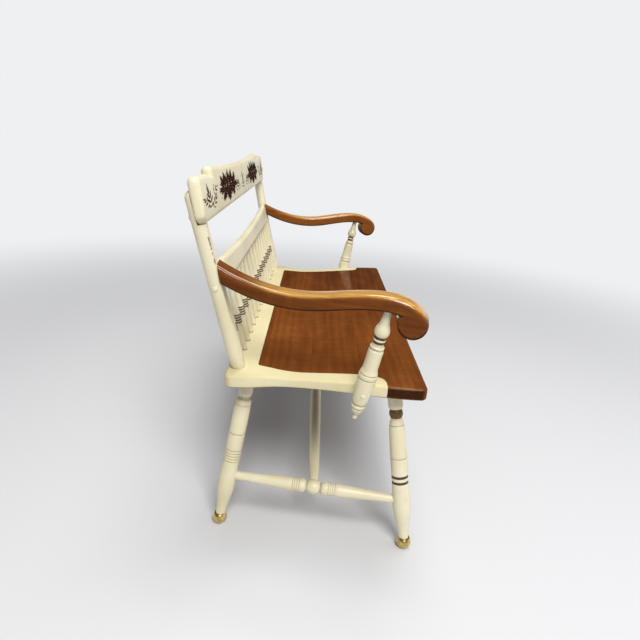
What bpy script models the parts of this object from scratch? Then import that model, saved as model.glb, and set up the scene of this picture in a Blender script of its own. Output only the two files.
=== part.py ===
import math

import bmesh
import bpy
from mathutils import Matrix, Vector

for old in list(bpy.data.objects):
    bpy.data.objects.remove(old, do_unlink=True)

# Driving dimensions, in metres. Left is -X, front is -Y.
# Y starts at the seat's front edge and runs to the rear while the bench is built.
clearance = 0.0003

# Seat plank
seat_height = 0.445
seat_depth = 0.465
seat_thickness = 0.030
seat_front_width = 1.121
seat_waist_width = 1.032
seat_rear_width = 1.056
seat_waist_setback = 0.333
seat_waist_to_rear_blend = 0.090
seat_fall = 0.0143
seat_dish = 0.0075
seat_dish_setback = 0.308
seat_dish_front_reach = 0.200
seat_dish_rear_reach = 0.100
seat_front_corner = 0.014
seat_rear_corner = 0.020
seat_edge_round = 0.006

# Legs, measured where their axes meet the seat's underside
front_leg_inset = 0.083
front_leg_setback = 0.063
front_foot_out = 0.0836
front_foot_forward = 0.0616
rear_leg_inset = 0.085
rear_leg_from_rear = 0.0494
rear_foot_out = 0.0657
rear_foot_back = 0.0640
leg_tenon_radius = 0.0125
leg_tenon_depth = 0.018
leg_ring_drop = 0.082
front_leg_neck_radius = 0.0184
front_leg_ring_radius = 0.0166
rear_leg_neck_radius = 0.0170
rear_leg_ring_radius = 0.0194
leg_pinch_radius = 0.0136
leg_shoulder_radius = 0.0194
leg_body_radius = 0.0206
leg_swell_radius = 0.0222
leg_swell_height = 0.117
leg_ankle_radius = 0.0124
leg_ankle_height = 0.030
leg_score_depth = 0.0011
leg_score_half_width = 0.0015
leg_score_lift = 0.0620
front_score_shares = (0.0, 0.088, 0.372)
rear_score_shares = (0.0, 0.197, 0.491)

# Brass ball feet
ball_radius = 0.018
ball_flat_depth = 0.0014
ball_socket_floor = 0.011

# Stretchers, heights measured along the legs from the floor
front_stretcher_height = 0.1275
rear_stretcher_height = 0.1372
stretcher_end_radius = 0.0095
stretcher_taper_radius = 0.0128
stretcher_taper_length = 0.075
stretcher_body_radius = 0.0168
stretcher_ball_radius = 0.0184
stretcher_cove_radius = 0.0118
stretcher_tenon_depth = 0.016
stretcher_score_depth = 0.0009
medial_tenon_radius = 0.0080
medial_tenon_depth = 0.012
medial_end_radius = 0.0110
medial_swell_radius = 0.0178

# Back posts
post_spread = 0.950
post_from_rear = 0.0275
post_rise = 0.410
post_lean = 0.228
post_splay = 0.136
post_foot_radius = 0.0165
post_radius = 0.0180
post_top_radius = 0.0165
post_flat_offset = 0.0135
post_flat_start = 0.050
post_flat_full = 0.170
post_tenon_radius = 0.0150
post_tenon_depth = 0.018

# Crest rail
crest_length = 1.100
crest_rise = 0.3425
crest_height = 0.1075
crest_back = -0.0020
crest_step = 0.0215
crest_ear = 0.009
crest_shoulder = 0.138
crest_tablet_corner = 0.012
crest_dip = 0.011
crest_top_thickness = 0.026
crest_bottom_thickness = 0.020
crest_belly_height = 0.072
crest_edge_round = 0.0090
crest_low_corner = 0.022
crest_high_corner = 0.012

# Mid rail
rail_rise = 0.190
rail_end_height = 0.067
rail_dip = 0.018
rail_thickness = 0.022
rail_forward = 0.002
rail_edge_round = 0.009
rail_housing = 0.008

# Spindles
spindle_count = 15
spindle_end_gap = 0.0445
spindle_foot_radius = 0.0064
spindle_belly_radius = 0.0092
spindle_belly_height = 0.092
spindle_belly_length = 0.030
spindle_top_radius = 0.0056
spindle_foot_tenon = 0.014
spindle_top_tenon = 0.012

# Arms, heights measured above the seat's front edge, lengths along the arm from the post
arm_rear_rise = 0.2437
arm_dip_rise = 0.2005
arm_crown_rise = 0.2215
arm_dip_at = 0.1746
arm_crown_at = 0.3619
arm_scroll_at = 0.4258
arm_scroll_rise = 0.1655
arm_scroll_radius = 0.0322
arm_notch_angle = 150.0
arm_rear_thickness = 0.0365
arm_thickness = 0.0345
arm_crown_thickness = 0.0335
arm_under_reach = 0.075
arm_rear_width = 0.048
arm_front_width = 0.050
arm_edge_round = 0.006
arm_inset = 0.010
arm_overhang = 0.0245
arm_dowel_radius = 0.005
arm_dowel_length = 0.028
arm_dowel_share_down = 0.6
arm_dowel_share_in_post = 0.012

# Arm supports
support_behind_scroll = 0.0522
support_setback = 0.1476
support_stand_off = 0.012
support_tenon_radius = 0.0075
support_tenon_depth = 0.014
support_vase_radius = 0.0167
support_groove_radius = 0.0106
support_collar_radius = 0.0158
support_waist_radius = 0.0172
support_ring_radius = 0.0215
support_base_radius = 0.0151
support_tip_radius = 0.0055

# Screws and the wood buttons over them
screw_head_radius = 0.0042
screw_head_height = 0.0026
screw_shank_radius = 0.0021
screw_bite = 0.018
button_radius = 0.0060
button_seat_depth = 0.005
button_crown = 0.0022
rail_button_setback = 0.001
rail_button_share = 0.21
crest_button_share = 0.14

# Faceting
turned_steps = 12
ball_rings = 8
stretcher_steps = 10
slim_steps = 8
fastener_steps = 8
arc_steps = 4

# Places worked out from the driving dimensions
half_front = seat_front_width / 2
half_rear = seat_rear_width / 2
half_waist = seat_waist_width / 2
rear_leg_setback = seat_depth - rear_leg_from_rear
post_setback = seat_depth - post_from_rear
lean_length = math.hypot(1.0, post_lean)
up_back = Vector((0.0, post_lean, 1.0)) / lean_length
front_normal = Vector((0.0, -1.0, post_lean)) / lean_length
back_turn = Matrix((Vector((1.0, 0.0, 0.0)), up_back, front_normal)).transposed()


def new_collection(name):
    made = bpy.data.collections.new(name)
    bpy.context.scene.collection.children.link(made)
    return made


bench = new_collection("painted_bench")
cutters = new_collection("cutters")
root = bpy.data.objects.new("root", None)
bench.objects.link(root)


def make_material(name, color, roughness, metallic=0.0):
    made = bpy.data.materials.new(name)
    made.use_nodes = True
    shader = made.node_tree.nodes["Principled BSDF"]
    shader.inputs["Base Color"].default_value = (*color, 1.0)
    shader.inputs["Roughness"].default_value = roughness
    shader.inputs["Metallic"].default_value = metallic
    made.diffuse_color = (*color, 1.0)
    return made


cream = make_material("cream_paint", (0.78, 0.70, 0.50), 0.38)
stain = make_material("stained_maple", (0.27, 0.10, 0.030), 0.22)
brass = make_material("brass", (0.72, 0.52, 0.20), 0.28, 1.0)
steel = make_material("screw_steel", (0.55, 0.55, 0.55), 0.35, 1.0)
bare_wood = make_material("bare_birch", (0.62, 0.45, 0.26), 0.55)


def place(obj, material):
    obj.parent = root
    if material is None:
        cutters.objects.link(obj)
        obj.hide_render = True
        obj.display_type = "WIRE"
    else:
        bench.objects.link(obj)
        obj.data.materials.append(material)
    return obj


# A turned piece: (distance along the axis, radius) pairs from start to end. No material makes a cutter.
def turn(name, start, towards, profile, steps, material=None):
    ring = [(0.0, profile[-1][0])]
    ring += [(radius, along) for along, radius in reversed(profile)]
    ring.append((0.0, profile[0][0]))
    mesh = bpy.data.meshes.new(name)
    mesh.from_pydata([(x, 0.0, z) for x, z in ring], [(i, i + 1) for i in range(len(ring) - 1)], [])
    obj = bpy.data.objects.new(name, mesh)
    obj.location = start
    obj.rotation_mode = "QUATERNION"
    obj.rotation_quaternion = (towards - start).to_track_quat("Z", "Y")
    screw = obj.modifiers.new("turning", "SCREW")
    screw.steps = steps
    screw.render_steps = steps
    screw.use_merge_vertices = True
    screw.merge_threshold = 0.00001
    screw.use_smooth_shade = True
    return place(obj, material)


# A board sawn to an outline, its edges rounded, lying in local XY with its middle at z = 0
def saw(name, outline, thickness, edge_round):
    curve = bpy.data.curves.new(name, "CURVE")
    curve.dimensions = "2D"
    curve.fill_mode = "BOTH"
    curve.extrude = thickness / 2 - edge_round
    curve.bevel_depth = edge_round
    curve.bevel_resolution = 1
    curve.offset = -edge_round
    spline = curve.splines.new("POLY")
    spline.points.add(len(outline) - 1)
    spline.use_cyclic_u = True
    for point, (x, y) in zip(spline.points, outline):
        point.co = (x, y, 0.0, 1.0)
    drawn = bpy.data.objects.new(name, curve)
    bpy.context.scene.collection.objects.link(drawn)
    graph = bpy.context.evaluated_depsgraph_get()
    mesh = bpy.data.meshes.new_from_object(drawn.evaluated_get(graph))
    bpy.data.objects.remove(drawn, do_unlink=True)
    bpy.data.curves.remove(curve)
    board = bmesh.new()
    board.from_mesh(mesh)
    bmesh.ops.remove_doubles(board, verts=board.verts, dist=0.00001)
    bmesh.ops.dissolve_limit(board, angle_limit=math.radians(0.5), verts=board.verts, edges=board.edges)
    bmesh.ops.recalc_face_normals(board, faces=board.faces)
    return mesh, board


def mount_board(name, mesh, board, matrix, material=None):
    board.to_mesh(mesh)
    board.free()
    mesh.materials.clear()
    mesh.shade_smooth()
    mesh.set_sharp_from_angle(angle=math.radians(35.0))
    mesh.name = name
    obj = bpy.data.objects.new(name, mesh)
    obj.matrix_basis = matrix
    return place(obj, material)


def slice_board(board, origin, normal, drop_beyond=False):
    geometry = board.verts[:] + board.edges[:] + board.faces[:]
    bmesh.ops.bisect_plane(
        board, geom=geometry, plane_co=origin, plane_no=normal, clear_outer=drop_beyond, dist=0.000001
    )
    if drop_beyond:
        rim = [edge for edge in board.edges if edge.is_boundary]
        bmesh.ops.holes_fill(board, edges=rim, sides=0)
        bmesh.ops.recalc_face_normals(board, faces=board.faces)


def cut(target, cutter):
    boolean = target.modifiers.new(cutter.name, "BOOLEAN")
    boolean.operation = "DIFFERENCE"
    boolean.solver = "EXACT"
    boolean.object = cutter


def arc(cx, cy, radius, first, last, steps):
    turns = [math.radians(first + (last - first) * i / steps) for i in range(steps + 1)]
    return [(cx + radius * math.cos(a), cy + radius * math.sin(a)) for a in turns]


def ease(t):
    return 0.5 - 0.5 * math.cos(math.pi * min(max(t, 0.0), 1.0))


# Half the seat's width at a distance behind its front edge
def seat_half(y):
    if y < seat_waist_setback:
        return half_front + (half_waist - half_front) * ease(y / seat_waist_setback)
    return half_waist + (half_rear - half_waist) * ease((y - seat_waist_setback) / seat_waist_to_rear_blend)


def seat_hollow(y):
    reach = seat_dish_rear_reach if y > seat_dish_setback else seat_dish_front_reach
    return seat_dish * ease(1.0 - abs(y - seat_dish_setback) / reach)


def seat_slope(y):
    return -seat_fall * y / seat_depth


def seat_top(y):
    return seat_height + seat_slope(y) - seat_hollow(y)


def seat_under(y):
    return seat_height + seat_slope(y) - seat_thickness


def make_seat():
    stations = 11
    front_x = seat_half(seat_front_corner) - seat_front_corner
    rear_y = seat_depth - seat_rear_corner
    right = arc(front_x, seat_front_corner, seat_front_corner, -90.0, 0.0, arc_steps)
    for i in range(1, stations):
        y = seat_front_corner + (rear_y - seat_front_corner) * i / stations
        right.append((seat_half(y), y))
    right += arc(seat_half(rear_y) - seat_rear_corner, rear_y, seat_rear_corner, 0.0, 90.0, arc_steps)
    left = [(-x, y) for x, y in reversed(right)]
    mesh, board = saw("seat", right + left, seat_thickness, seat_edge_round)
    for i in range(1, stations):
        slice_board(board, (0.0, seat_depth * i / stations, 0.0), (0.0, 1.0, 0.0))
    for vert in board.verts:
        share = vert.co.z / seat_thickness + 0.5
        vert.co.z += seat_slope(vert.co.y) - seat_hollow(vert.co.y) * share
    rest = Matrix.Translation((0.0, 0.0, seat_height - seat_thickness / 2))
    return mount_board("seat", mesh, board, rest, stain)


seat = make_seat()


# Legs with their brass feet
def scored(at, radius):
    half = leg_score_half_width
    return [(at - half, radius), (at, radius - leg_score_depth), (at + half, radius)]


def front_leg_top(length):
    ring_low = length - leg_ring_drop
    ring = front_leg_ring_radius
    neck = front_leg_neck_radius
    return [
        (ring_low - 0.032, leg_shoulder_radius),
        (ring_low - 0.022, leg_shoulder_radius - 0.0014),
        (ring_low - 0.0195, leg_shoulder_radius - 0.0029),
        (ring_low - 0.017, leg_shoulder_radius - 0.0021),
        (ring_low - 0.009, leg_shoulder_radius - 0.0040),
        (ring_low - 0.003, leg_pinch_radius),
        (ring_low + 0.002, ring - 0.0014),
        (ring_low + 0.008, ring),
        (ring_low + 0.014, ring - 0.0002),
        (ring_low + 0.019, ring - 0.0016),
        (ring_low + 0.026, neck - 0.0012),
        (ring_low + 0.034, neck),
        (length - 0.024, neck),
    ]


def rear_leg_top(length):
    ring_low = length - leg_ring_drop
    ring = rear_leg_ring_radius
    neck = rear_leg_neck_radius
    return [
        (ring_low - 0.010, leg_body_radius - 0.0003),
        (ring_low - 0.001, ring + 0.0002),
        (ring_low + 0.0007, ring - 0.0010),
        (ring_low + 0.0025, ring),
        (ring_low + 0.010, ring - 0.0004),
        (ring_low + 0.0145, leg_pinch_radius + 0.0024),
        (ring_low + 0.0185, leg_pinch_radius),
        (ring_low + 0.0225, leg_pinch_radius + 0.0016),
        (ring_low + 0.028, neck - 0.0002),
        (length - 0.024, neck),
    ]


def leg_profile(row, length):
    ring_low = length - leg_ring_drop
    lowest_score = leg_swell_height + leg_score_lift
    profile = [
        (ball_socket_floor + clearance, leg_ankle_radius),
        (leg_ankle_height, leg_ankle_radius),
        (leg_ankle_height + 0.016, leg_ankle_radius + 0.0010),
        (leg_swell_height - 0.045, (leg_ankle_radius + leg_swell_radius) / 2),
        (leg_swell_height - 0.014, leg_swell_radius - 0.0003),
        (leg_swell_height + 0.008, leg_swell_radius),
        (lowest_score - 0.025, leg_body_radius),
    ]
    for share in front_score_shares if row == "front" else rear_score_shares:
        profile += scored(lowest_score + (ring_low - lowest_score) * share, leg_body_radius)
    profile += front_leg_top(length) if row == "front" else rear_leg_top(length)
    return profile + [(length - 0.007, leg_tenon_radius), (length + leg_tenon_depth, leg_tenon_radius)]


def make_leg(row, side_name, foot, top):
    name = f"leg_{row}_{side_name}"
    length = (top - foot).length
    leg = turn(name, foot, top, leg_profile(row, length), turned_steps, cream)
    socket = turn(
        f"socket_{name}",
        foot,
        top,
        [
            (length - leg_tenon_depth, leg_tenon_radius + clearance),
            (length + leg_tenon_depth + clearance, leg_tenon_radius + clearance),
        ],
        turned_steps,
    )
    cut(seat, socket)
    axis = (top - foot).normalized()
    centre = foot + axis * ((ball_radius - ball_flat_depth) / axis.z)
    ball_shape = bmesh.new()
    bmesh.ops.create_uvsphere(ball_shape, u_segments=turned_steps, v_segments=ball_rings, radius=ball_radius)
    ball_mesh = bpy.data.meshes.new(f"foot_{row}_{side_name}")
    ball_shape.to_mesh(ball_mesh)
    ball_shape.free()
    ball_mesh.shade_smooth()
    ball = bpy.data.objects.new(f"foot_{row}_{side_name}", ball_mesh)
    ball.location = centre
    place(ball, brass)
    floor_shape = bmesh.new()
    bmesh.ops.create_cube(floor_shape, size=4 * ball_radius)
    floor_mesh = bpy.data.meshes.new(f"floor_{name}")
    floor_shape.to_mesh(floor_mesh)
    floor_shape.free()
    floor = bpy.data.objects.new(f"floor_{name}", floor_mesh)
    floor.location = (foot.x, foot.y, -2 * ball_radius)
    cut(ball, place(floor, None))
    cup = turn(
        f"cup_{name}",
        foot,
        top,
        [
            (ball_socket_floor, leg_ankle_radius + clearance),
            (ball_socket_floor + 2 * ball_radius, leg_ankle_radius + clearance),
        ],
        turned_steps,
    )
    cut(ball, cup)
    return leg, foot, axis


sides = {"left": -1, "right": 1}
legs = {}
for side_name, side in sides.items():
    top_x = half_front - front_leg_inset
    top = Vector((side * top_x, front_leg_setback, seat_under(front_leg_setback)))
    foot = Vector((side * (top_x + front_foot_out), front_leg_setback - front_foot_forward, 0.0))
    legs["front", side_name] = make_leg("front", side_name, foot, top)
    top_x = half_rear - rear_leg_inset
    top = Vector((side * top_x, rear_leg_setback, seat_under(rear_leg_setback)))
    foot = Vector((side * (top_x + rear_foot_out), rear_leg_setback + rear_foot_back, 0.0))
    legs["rear", side_name] = make_leg("rear", side_name, foot, top)


# Side stretchers from leg to leg, with the medial stretcher between their balls
def half_side_stretcher(half):
    ball = stretcher_ball_radius
    score = stretcher_score_depth
    body = stretcher_body_radius
    profile = [
        (0.0, ball),
        (ball * 0.45, ball * 0.89),
        (ball * 0.85, stretcher_cove_radius + 0.0010),
        (ball, stretcher_cove_radius),
        (ball + 0.0065, body - 0.0010),
        (ball + 0.013, body),
    ]
    for i in range(3):
        at = ball + 0.020 + 0.0065 * i
        profile += [(at - 0.0015, body), (at, body - score), (at + 0.0015, body)]
    profile += [(half - stretcher_taper_length, stretcher_taper_radius), (half, stretcher_end_radius)]
    return profile


balls = {}
side_stretchers = {}
for side_name, side in sides.items():
    rear_leg, rear_foot, rear_axis = legs["rear", side_name]
    front_leg, front_foot, front_axis = legs["front", side_name]
    rear_end = rear_foot + rear_axis * rear_stretcher_height
    front_end = front_foot + front_axis * front_stretcher_height
    run = (front_end - rear_end).normalized()
    inward = leg_swell_radius - stretcher_tenon_depth
    half = (front_end - rear_end).length / 2 - inward
    middle = (rear_end + front_end) / 2
    profile = half_side_stretcher(half)
    mirrored = [(-along, radius) for along, radius in reversed(profile)]
    side_stretchers[side_name] = turn(
        f"side_stretcher_{side_name}", middle, front_end, mirrored + profile[1:], stretcher_steps, cream
    )
    taper = (stretcher_taper_radius - stretcher_end_radius) / stretcher_taper_length
    hole_radius = stretcher_end_radius + clearance
    hole_depth = 2 * leg_swell_radius
    for leg, outward in ((rear_leg, -1), (front_leg, 1)):
        mortise = turn(
            f"mortise_{leg.name}",
            middle + run * outward * (half + clearance),
            middle,
            [(0.0, hole_radius), (hole_depth, hole_radius + hole_depth * taper)],
            stretcher_steps,
        )
        cut(leg, mortise)
    balls[side_name] = middle

span = balls["right"] - balls["left"]
ball = stretcher_ball_radius
medial_half = span.length / 2 - ball + medial_tenon_depth
medial_middle = (balls["left"] + balls["right"]) / 2
half_medial = [
    (0.0, medial_swell_radius),
    (medial_half * 0.45, medial_swell_radius - 0.0012),
    (medial_half * 0.75, (medial_swell_radius + medial_end_radius) / 2),
    (medial_half - medial_tenon_depth - 0.010, medial_end_radius),
    (medial_half - medial_tenon_depth, medial_tenon_radius),
    (medial_half, medial_tenon_radius),
]
mirrored = [(-along, radius) for along, radius in reversed(half_medial)]
turn("medial_stretcher", medial_middle, balls["right"], mirrored + half_medial[1:], stretcher_steps, cream)
for side_name in sides:
    mortise = turn(
        f"mortise_medial_{side_name}",
        medial_middle + (balls[side_name] - medial_middle).normalized() * (medial_half + clearance),
        medial_middle,
        [(0.0, medial_tenon_radius + clearance), (2 * ball, medial_tenon_radius + clearance)],
        stretcher_steps,
    )
    cut(side_stretchers[side_name], mortise)


# The back: every piece of it lies on the plane of the two posts' axes, which leans back
back_foot = Vector((0.0, post_setback, seat_top(post_setback)))


def on_back(x, rise, forward=0.0):
    return back_foot + Vector((x, post_lean * rise, rise)) + front_normal * forward


def post_half(rise):
    return post_spread / 2 + post_splay * rise


def back_matrix(rise, forward):
    return Matrix.Translation(on_back(0.0, rise, forward)) @ back_turn.to_4x4()


def post_flat_outline(length):
    clear = 2 * post_radius
    runout = []
    for i in range(6):
        t = i / 5
        along = post_flat_start + (post_flat_full - post_flat_start) * t
        runout.append((along, post_radius + clearance + (post_flat_offset - post_radius - clearance) * ease(t)))
    return runout + [(length + clear, post_flat_offset), (length + clear, clear), (post_flat_start, clear)]


def make_post(side, side_name):
    foot = on_back(side * post_half(0.0), 0.0)
    top = on_back(side * post_half(post_rise), post_rise)
    length = (top - foot).length
    dome = post_top_radius
    profile = [
        (-post_tenon_depth, post_tenon_radius),
        (0.005, post_tenon_radius),
        (0.010, post_foot_radius),
        (post_flat_start, post_radius + 0.0006),
        (length * 0.5, post_radius),
        (length - 0.016, post_top_radius),
        (length - 0.006, dome * 0.88),
        (length - 0.0015, dome * 0.60),
        (length, dome * 0.25),
    ]
    post = turn(f"back_post_{side_name}", foot, top, profile, turned_steps, cream)
    socket = turn(
        f"socket_post_{side_name}",
        foot,
        top,
        [
            (-post_tenon_depth - clearance, post_tenon_radius + clearance),
            (post_tenon_depth, post_tenon_radius + clearance),
        ],
        turned_steps,
    )
    cut(seat, socket)
    mesh, board = saw(f"flat_{side_name}", post_flat_outline(length), 4 * post_radius, 0.0)
    axis = (top - foot).normalized()
    turned = Matrix((axis, front_normal, axis.cross(front_normal))).transposed()
    flat = mount_board(f"flat_{side_name}", mesh, board, Matrix.Translation(foot) @ turned.to_4x4())
    cut(post, flat)
    return post


posts = {name: make_post(side, name) for name, side in sides.items()}


# Mid rail, let into both posts
def rail_outline(grow):
    half = post_half(rail_rise) - post_radius + rail_housing + grow
    steps = 14
    top = []
    for i in range(steps + 1):
        u = half * (1 - 2 * i / steps)
        top.append((u, rail_end_height + grow - rail_dip * (1 - (u / half) ** 2)))
    return [(-half, -grow), (half, -grow)] + top


def make_rail(name, grow, material):
    rail_mesh, board = saw(name, rail_outline(grow), rail_thickness + 2 * grow, rail_edge_round + grow)
    return mount_board(name, rail_mesh, board, back_matrix(rail_rise, rail_forward), material)


mid_rail = make_rail("mid_rail", 0.0, cream)
rail_pocket = make_rail("pocket_rail", clearance, None)
for post in posts.values():
    cut(post, rail_pocket)


# Crest rail let into the posts' fronts: a raised tablet between two lower ears
def make_crest():
    half = crest_length / 2
    low = crest_low_corner
    high = crest_high_corner
    notch = crest_height - crest_step
    shoulder = notch + crest_ear
    tablet = half - crest_shoulder
    corner = crest_tablet_corner
    right = arc(half - low, low, low, -90.0, 0.0, arc_steps)
    right += arc(half - high, shoulder - high, high, 0.0, 90.0, arc_steps)
    for i in range(1, 4):
        t = i / 3
        right.append((half - high - (half - high - tablet) * t, notch + crest_ear * (1 - t ** 4)))
    right += arc(tablet - corner, crest_height - corner, corner, 0.0, 90.0, arc_steps)
    steps = 6
    for i in range(1, steps + 1):
        u = (tablet - corner) * (1 - i / steps)
        right.append((u, crest_height - crest_dip * (1 - (u / (tablet - corner)) ** 2)))
    left = [(-u, v) for u, v in reversed(right[:-1])]
    mesh, board = saw("crest_rail", right + left, crest_top_thickness, crest_edge_round)
    for i in range(1, 5):
        slice_board(board, (0.0, crest_height * i / 5, 0.0), (0.0, 1.0, 0.0))
    for vert in board.verts:
        share = min(max(vert.co.y / crest_height, 0.0), 1.0)
        swell = math.sin(0.5 * math.pi * min(share * crest_height / crest_belly_height, 1.0))
        thick = crest_bottom_thickness + (crest_top_thickness - crest_bottom_thickness) * swell
        from_back = vert.co.z + crest_top_thickness / 2
        vert.co.z = from_back * thick / crest_top_thickness
    rest = back_matrix(crest_rise, crest_back)
    return mount_board("crest_rail", mesh, board, rest, cream)


crest_rail = make_crest()


def cut_crest_notch(side, side_name):
    span = 3 * post_radius
    middle = side * post_half(crest_rise + crest_height / 2)
    low = -clearance
    high = crest_height
    outline = [(middle - span, low), (middle + span, low), (middle + span, high), (middle - span, high)]
    mesh, board = saw(f"notch_{side_name}", outline, 2 * span, 0.0)
    rest = back_matrix(crest_rise, crest_back - clearance + span)
    cut(posts[side_name], mount_board(f"notch_{side_name}", mesh, board, rest))


for side_name, side in sides.items():
    cut_crest_notch(side, side_name)


# Spindles between seat and mid rail
def make_spindle(index):
    share = 2 * index / (spindle_count - 1) - 1
    foot_x = share * (post_half(0.0) - spindle_end_gap)
    top_x = share * (post_half(rail_rise) - spindle_end_gap)
    foot = on_back(foot_x, 0.0)
    top = on_back(top_x, rail_rise, rail_forward)
    length = (top - foot).length
    belly = spindle_belly_height
    half_belly = spindle_belly_length / 2
    name = f"spindle_{index + 1:02d}"
    profile = [
        (-spindle_foot_tenon, spindle_foot_radius),
        (0.006, spindle_foot_radius),
        (belly - half_belly - 0.004, spindle_belly_radius - 0.0012),
        (belly - half_belly, spindle_belly_radius),
        (belly + half_belly, spindle_belly_radius - 0.0003),
        (length - 0.006, spindle_top_radius),
        (length + spindle_top_tenon, spindle_top_radius),
    ]
    turn(name, foot, top, profile, slim_steps, cream)
    low = spindle_foot_radius + clearance
    socket = turn(
        f"socket_{name}",
        foot,
        top,
        [(-spindle_foot_tenon - clearance, low), (spindle_foot_tenon, low)],
        slim_steps,
    )
    cut(seat, socket)
    high = spindle_top_radius + clearance
    bore = turn(
        f"bore_{name}",
        foot,
        top,
        [(length - 0.006, high), (length + spindle_top_tenon + clearance, high)],
        slim_steps,
    )
    cut(mid_rail, bore)


for index in range(spindle_count):
    make_spindle(index)


# Arms: a sawn side profile that hollows behind, crowns over the support and rolls into a scroll
def arm_top(s):
    if s < arm_dip_at:
        return arm_dip_rise + (arm_rear_rise - arm_dip_rise) * (1 - s / arm_dip_at) ** 2
    if s < arm_crown_at:
        share = (s - arm_dip_at) / (arm_crown_at - arm_dip_at)
        return arm_dip_rise + (arm_crown_rise - arm_dip_rise) * ease(share)
    reach = arm_scroll_at + arm_scroll_radius - arm_crown_at
    fall = math.sqrt(max(1.0 - ((s - arm_crown_at) / reach) ** 2, 0.0))
    return arm_scroll_rise + (arm_crown_rise - arm_scroll_rise) * fall


def arm_notch():
    turned = math.radians(arm_notch_angle)
    return (
        arm_scroll_at + arm_scroll_radius * math.cos(turned),
        arm_scroll_rise + arm_scroll_radius * math.sin(turned),
    )


def arm_under(s):
    if s < arm_dip_at:
        share = (1 - s / arm_dip_at) ** 2
        return arm_top(s) - arm_thickness - (arm_rear_thickness - arm_thickness) * share
    if s < arm_crown_at:
        share = ease((s - arm_dip_at) / (arm_crown_at - arm_dip_at))
        return arm_top(s) - arm_thickness - (arm_crown_thickness - arm_thickness) * share
    notch_s, notch_rise = arm_notch()
    low = arm_crown_rise - arm_crown_thickness
    bend = 1.0 - math.sqrt(max(1.0 - ((s - arm_crown_at) / arm_under_reach) ** 2, 0.0))
    full = 1.0 - math.sqrt(max(1.0 - ((notch_s - arm_crown_at) / arm_under_reach) ** 2, 0.0))
    return low + (notch_rise - low) * bend / full


def arm_outline(tail):
    front = arm_scroll_at + arm_scroll_radius
    notch_s = arm_notch()[0]
    steps = 17
    under_steps = 11
    outline = []
    for i in range(steps):
        s = -tail + (front + tail) * math.sin(0.5 * math.pi * i / steps)
        outline.append((s, arm_top(s)))
    outline += arc(arm_scroll_at, arm_scroll_rise, arm_scroll_radius, 0.0, arm_notch_angle - 360.0, 12)
    for i in range(1, under_steps + 1):
        s = notch_s - (notch_s + tail) * i / under_steps
        outline.append((s, arm_under(s)))
    return outline


def arm_frame(side):
    rise = seat_height + arm_rear_rise - arm_rear_thickness / 2 - back_foot.z
    rear = on_back(side * (post_half(rise) - arm_inset), rise, post_flat_offset + clearance)
    rear.z = seat_height
    front_x = side * (half_front + arm_overhang)
    forward = math.sqrt(arm_scroll_at ** 2 - (front_x - rear.x) ** 2)
    along = Vector((front_x - rear.x, -forward, 0.0)) / arm_scroll_at
    up = Vector((0.0, 0.0, 1.0))
    turned = Matrix((along, up, along.cross(up))).transposed()
    return rear, along, Matrix.Translation(rear) @ turned.to_4x4()


def make_arm(side, side_name):
    rest = arm_frame(side)[2]
    mesh, board = saw(f"arm_{side_name}", arm_outline(arm_rear_thickness), arm_rear_width, arm_edge_round)
    reach = arm_scroll_at + arm_scroll_radius
    for vert in board.verts:
        share = min(max(vert.co.x / reach, 0.0), 1.0)
        width = arm_rear_width + (arm_front_width - arm_rear_width) * share
        vert.co.z *= width / arm_rear_width
    back_to_arm = rest.inverted()
    flat_point = back_to_arm @ on_back(0.0, 0.0, post_flat_offset + clearance)
    flat_out = back_to_arm.to_3x3() @ -front_normal
    slice_board(board, flat_point, flat_out, drop_beyond=True)
    arm = mount_board(f"arm_{side_name}", mesh, board, rest, stain)
    middle = arm_top(0.0) - arm_dowel_share_down * arm_rear_thickness + seat_height - back_foot.z
    entry = on_back(side * post_half(middle), middle, post_flat_offset)
    heart = entry - front_normal * arm_dowel_share_in_post
    tip = heart + front_normal * arm_dowel_length
    turn(
        f"arm_dowel_{side_name}",
        heart,
        tip,
        [(0.0, arm_dowel_radius), (arm_dowel_length, arm_dowel_radius)],
        fastener_steps,
        bare_wood,
    )
    hole = turn(
        f"hole_arm_dowel_{side_name}",
        heart,
        tip,
        [
            (-clearance, arm_dowel_radius + clearance),
            (arm_dowel_length + clearance, arm_dowel_radius + clearance),
        ],
        fastener_steps,
    )
    cut(arm, hole)
    cut(posts[side_name], hole)
    return arm


arms = {name: make_arm(side, name) for name, side in sides.items()}


# Arm supports: turned, leaning out and forward, let into the seat's ends
def support_profile(to_seat, grow=0.0):
    groove = support_groove_radius
    collar = support_collar_radius
    ring = support_ring_radius
    base = support_base_radius
    profile = [
        (-support_tenon_depth, support_tenon_radius),
        (0.004, support_tenon_radius),
        (0.022, support_tenon_radius + 0.0020),
        (0.034, support_vase_radius - 0.0030),
        (0.045, support_vase_radius - 0.0003),
        (0.054, support_vase_radius),
        (0.062, support_vase_radius - 0.0022),
        (0.066, groove),
        (0.069, groove + 0.0020),
        (0.075, groove + 0.0020),
        (0.078, groove),
        (0.083, collar - 0.0012),
        (0.090, collar),
        (0.0945, collar - 0.0014),
        (0.098, support_waist_radius - 0.0004),
        (to_seat - 0.066, support_waist_radius),
        (to_seat - 0.0575, ring - 0.0015),
        (to_seat - 0.054, ring - 0.0022),
        (to_seat - 0.051, ring),
        (to_seat - 0.044, ring),
        (to_seat - 0.041, ring - 0.0016),
        (to_seat - 0.0385, ring - 0.0003),
        (to_seat - 0.015, ring - 0.0009),
        (to_seat + 0.012, support_waist_radius + 0.0015),
        (to_seat + 0.026, base + 0.0012),
        (to_seat + 0.030, base - 0.0010),
        (to_seat + 0.033, base),
        (to_seat + 0.042, base - 0.0004),
        (to_seat + 0.050, base - 0.0034),
        (to_seat + 0.057, support_tip_radius + 0.0002),
        (to_seat + 0.066, support_tip_radius),
        (to_seat + 0.072, support_tip_radius - 0.0012),
    ]
    return [(along, radius + grow) for along, radius in profile]


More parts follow.
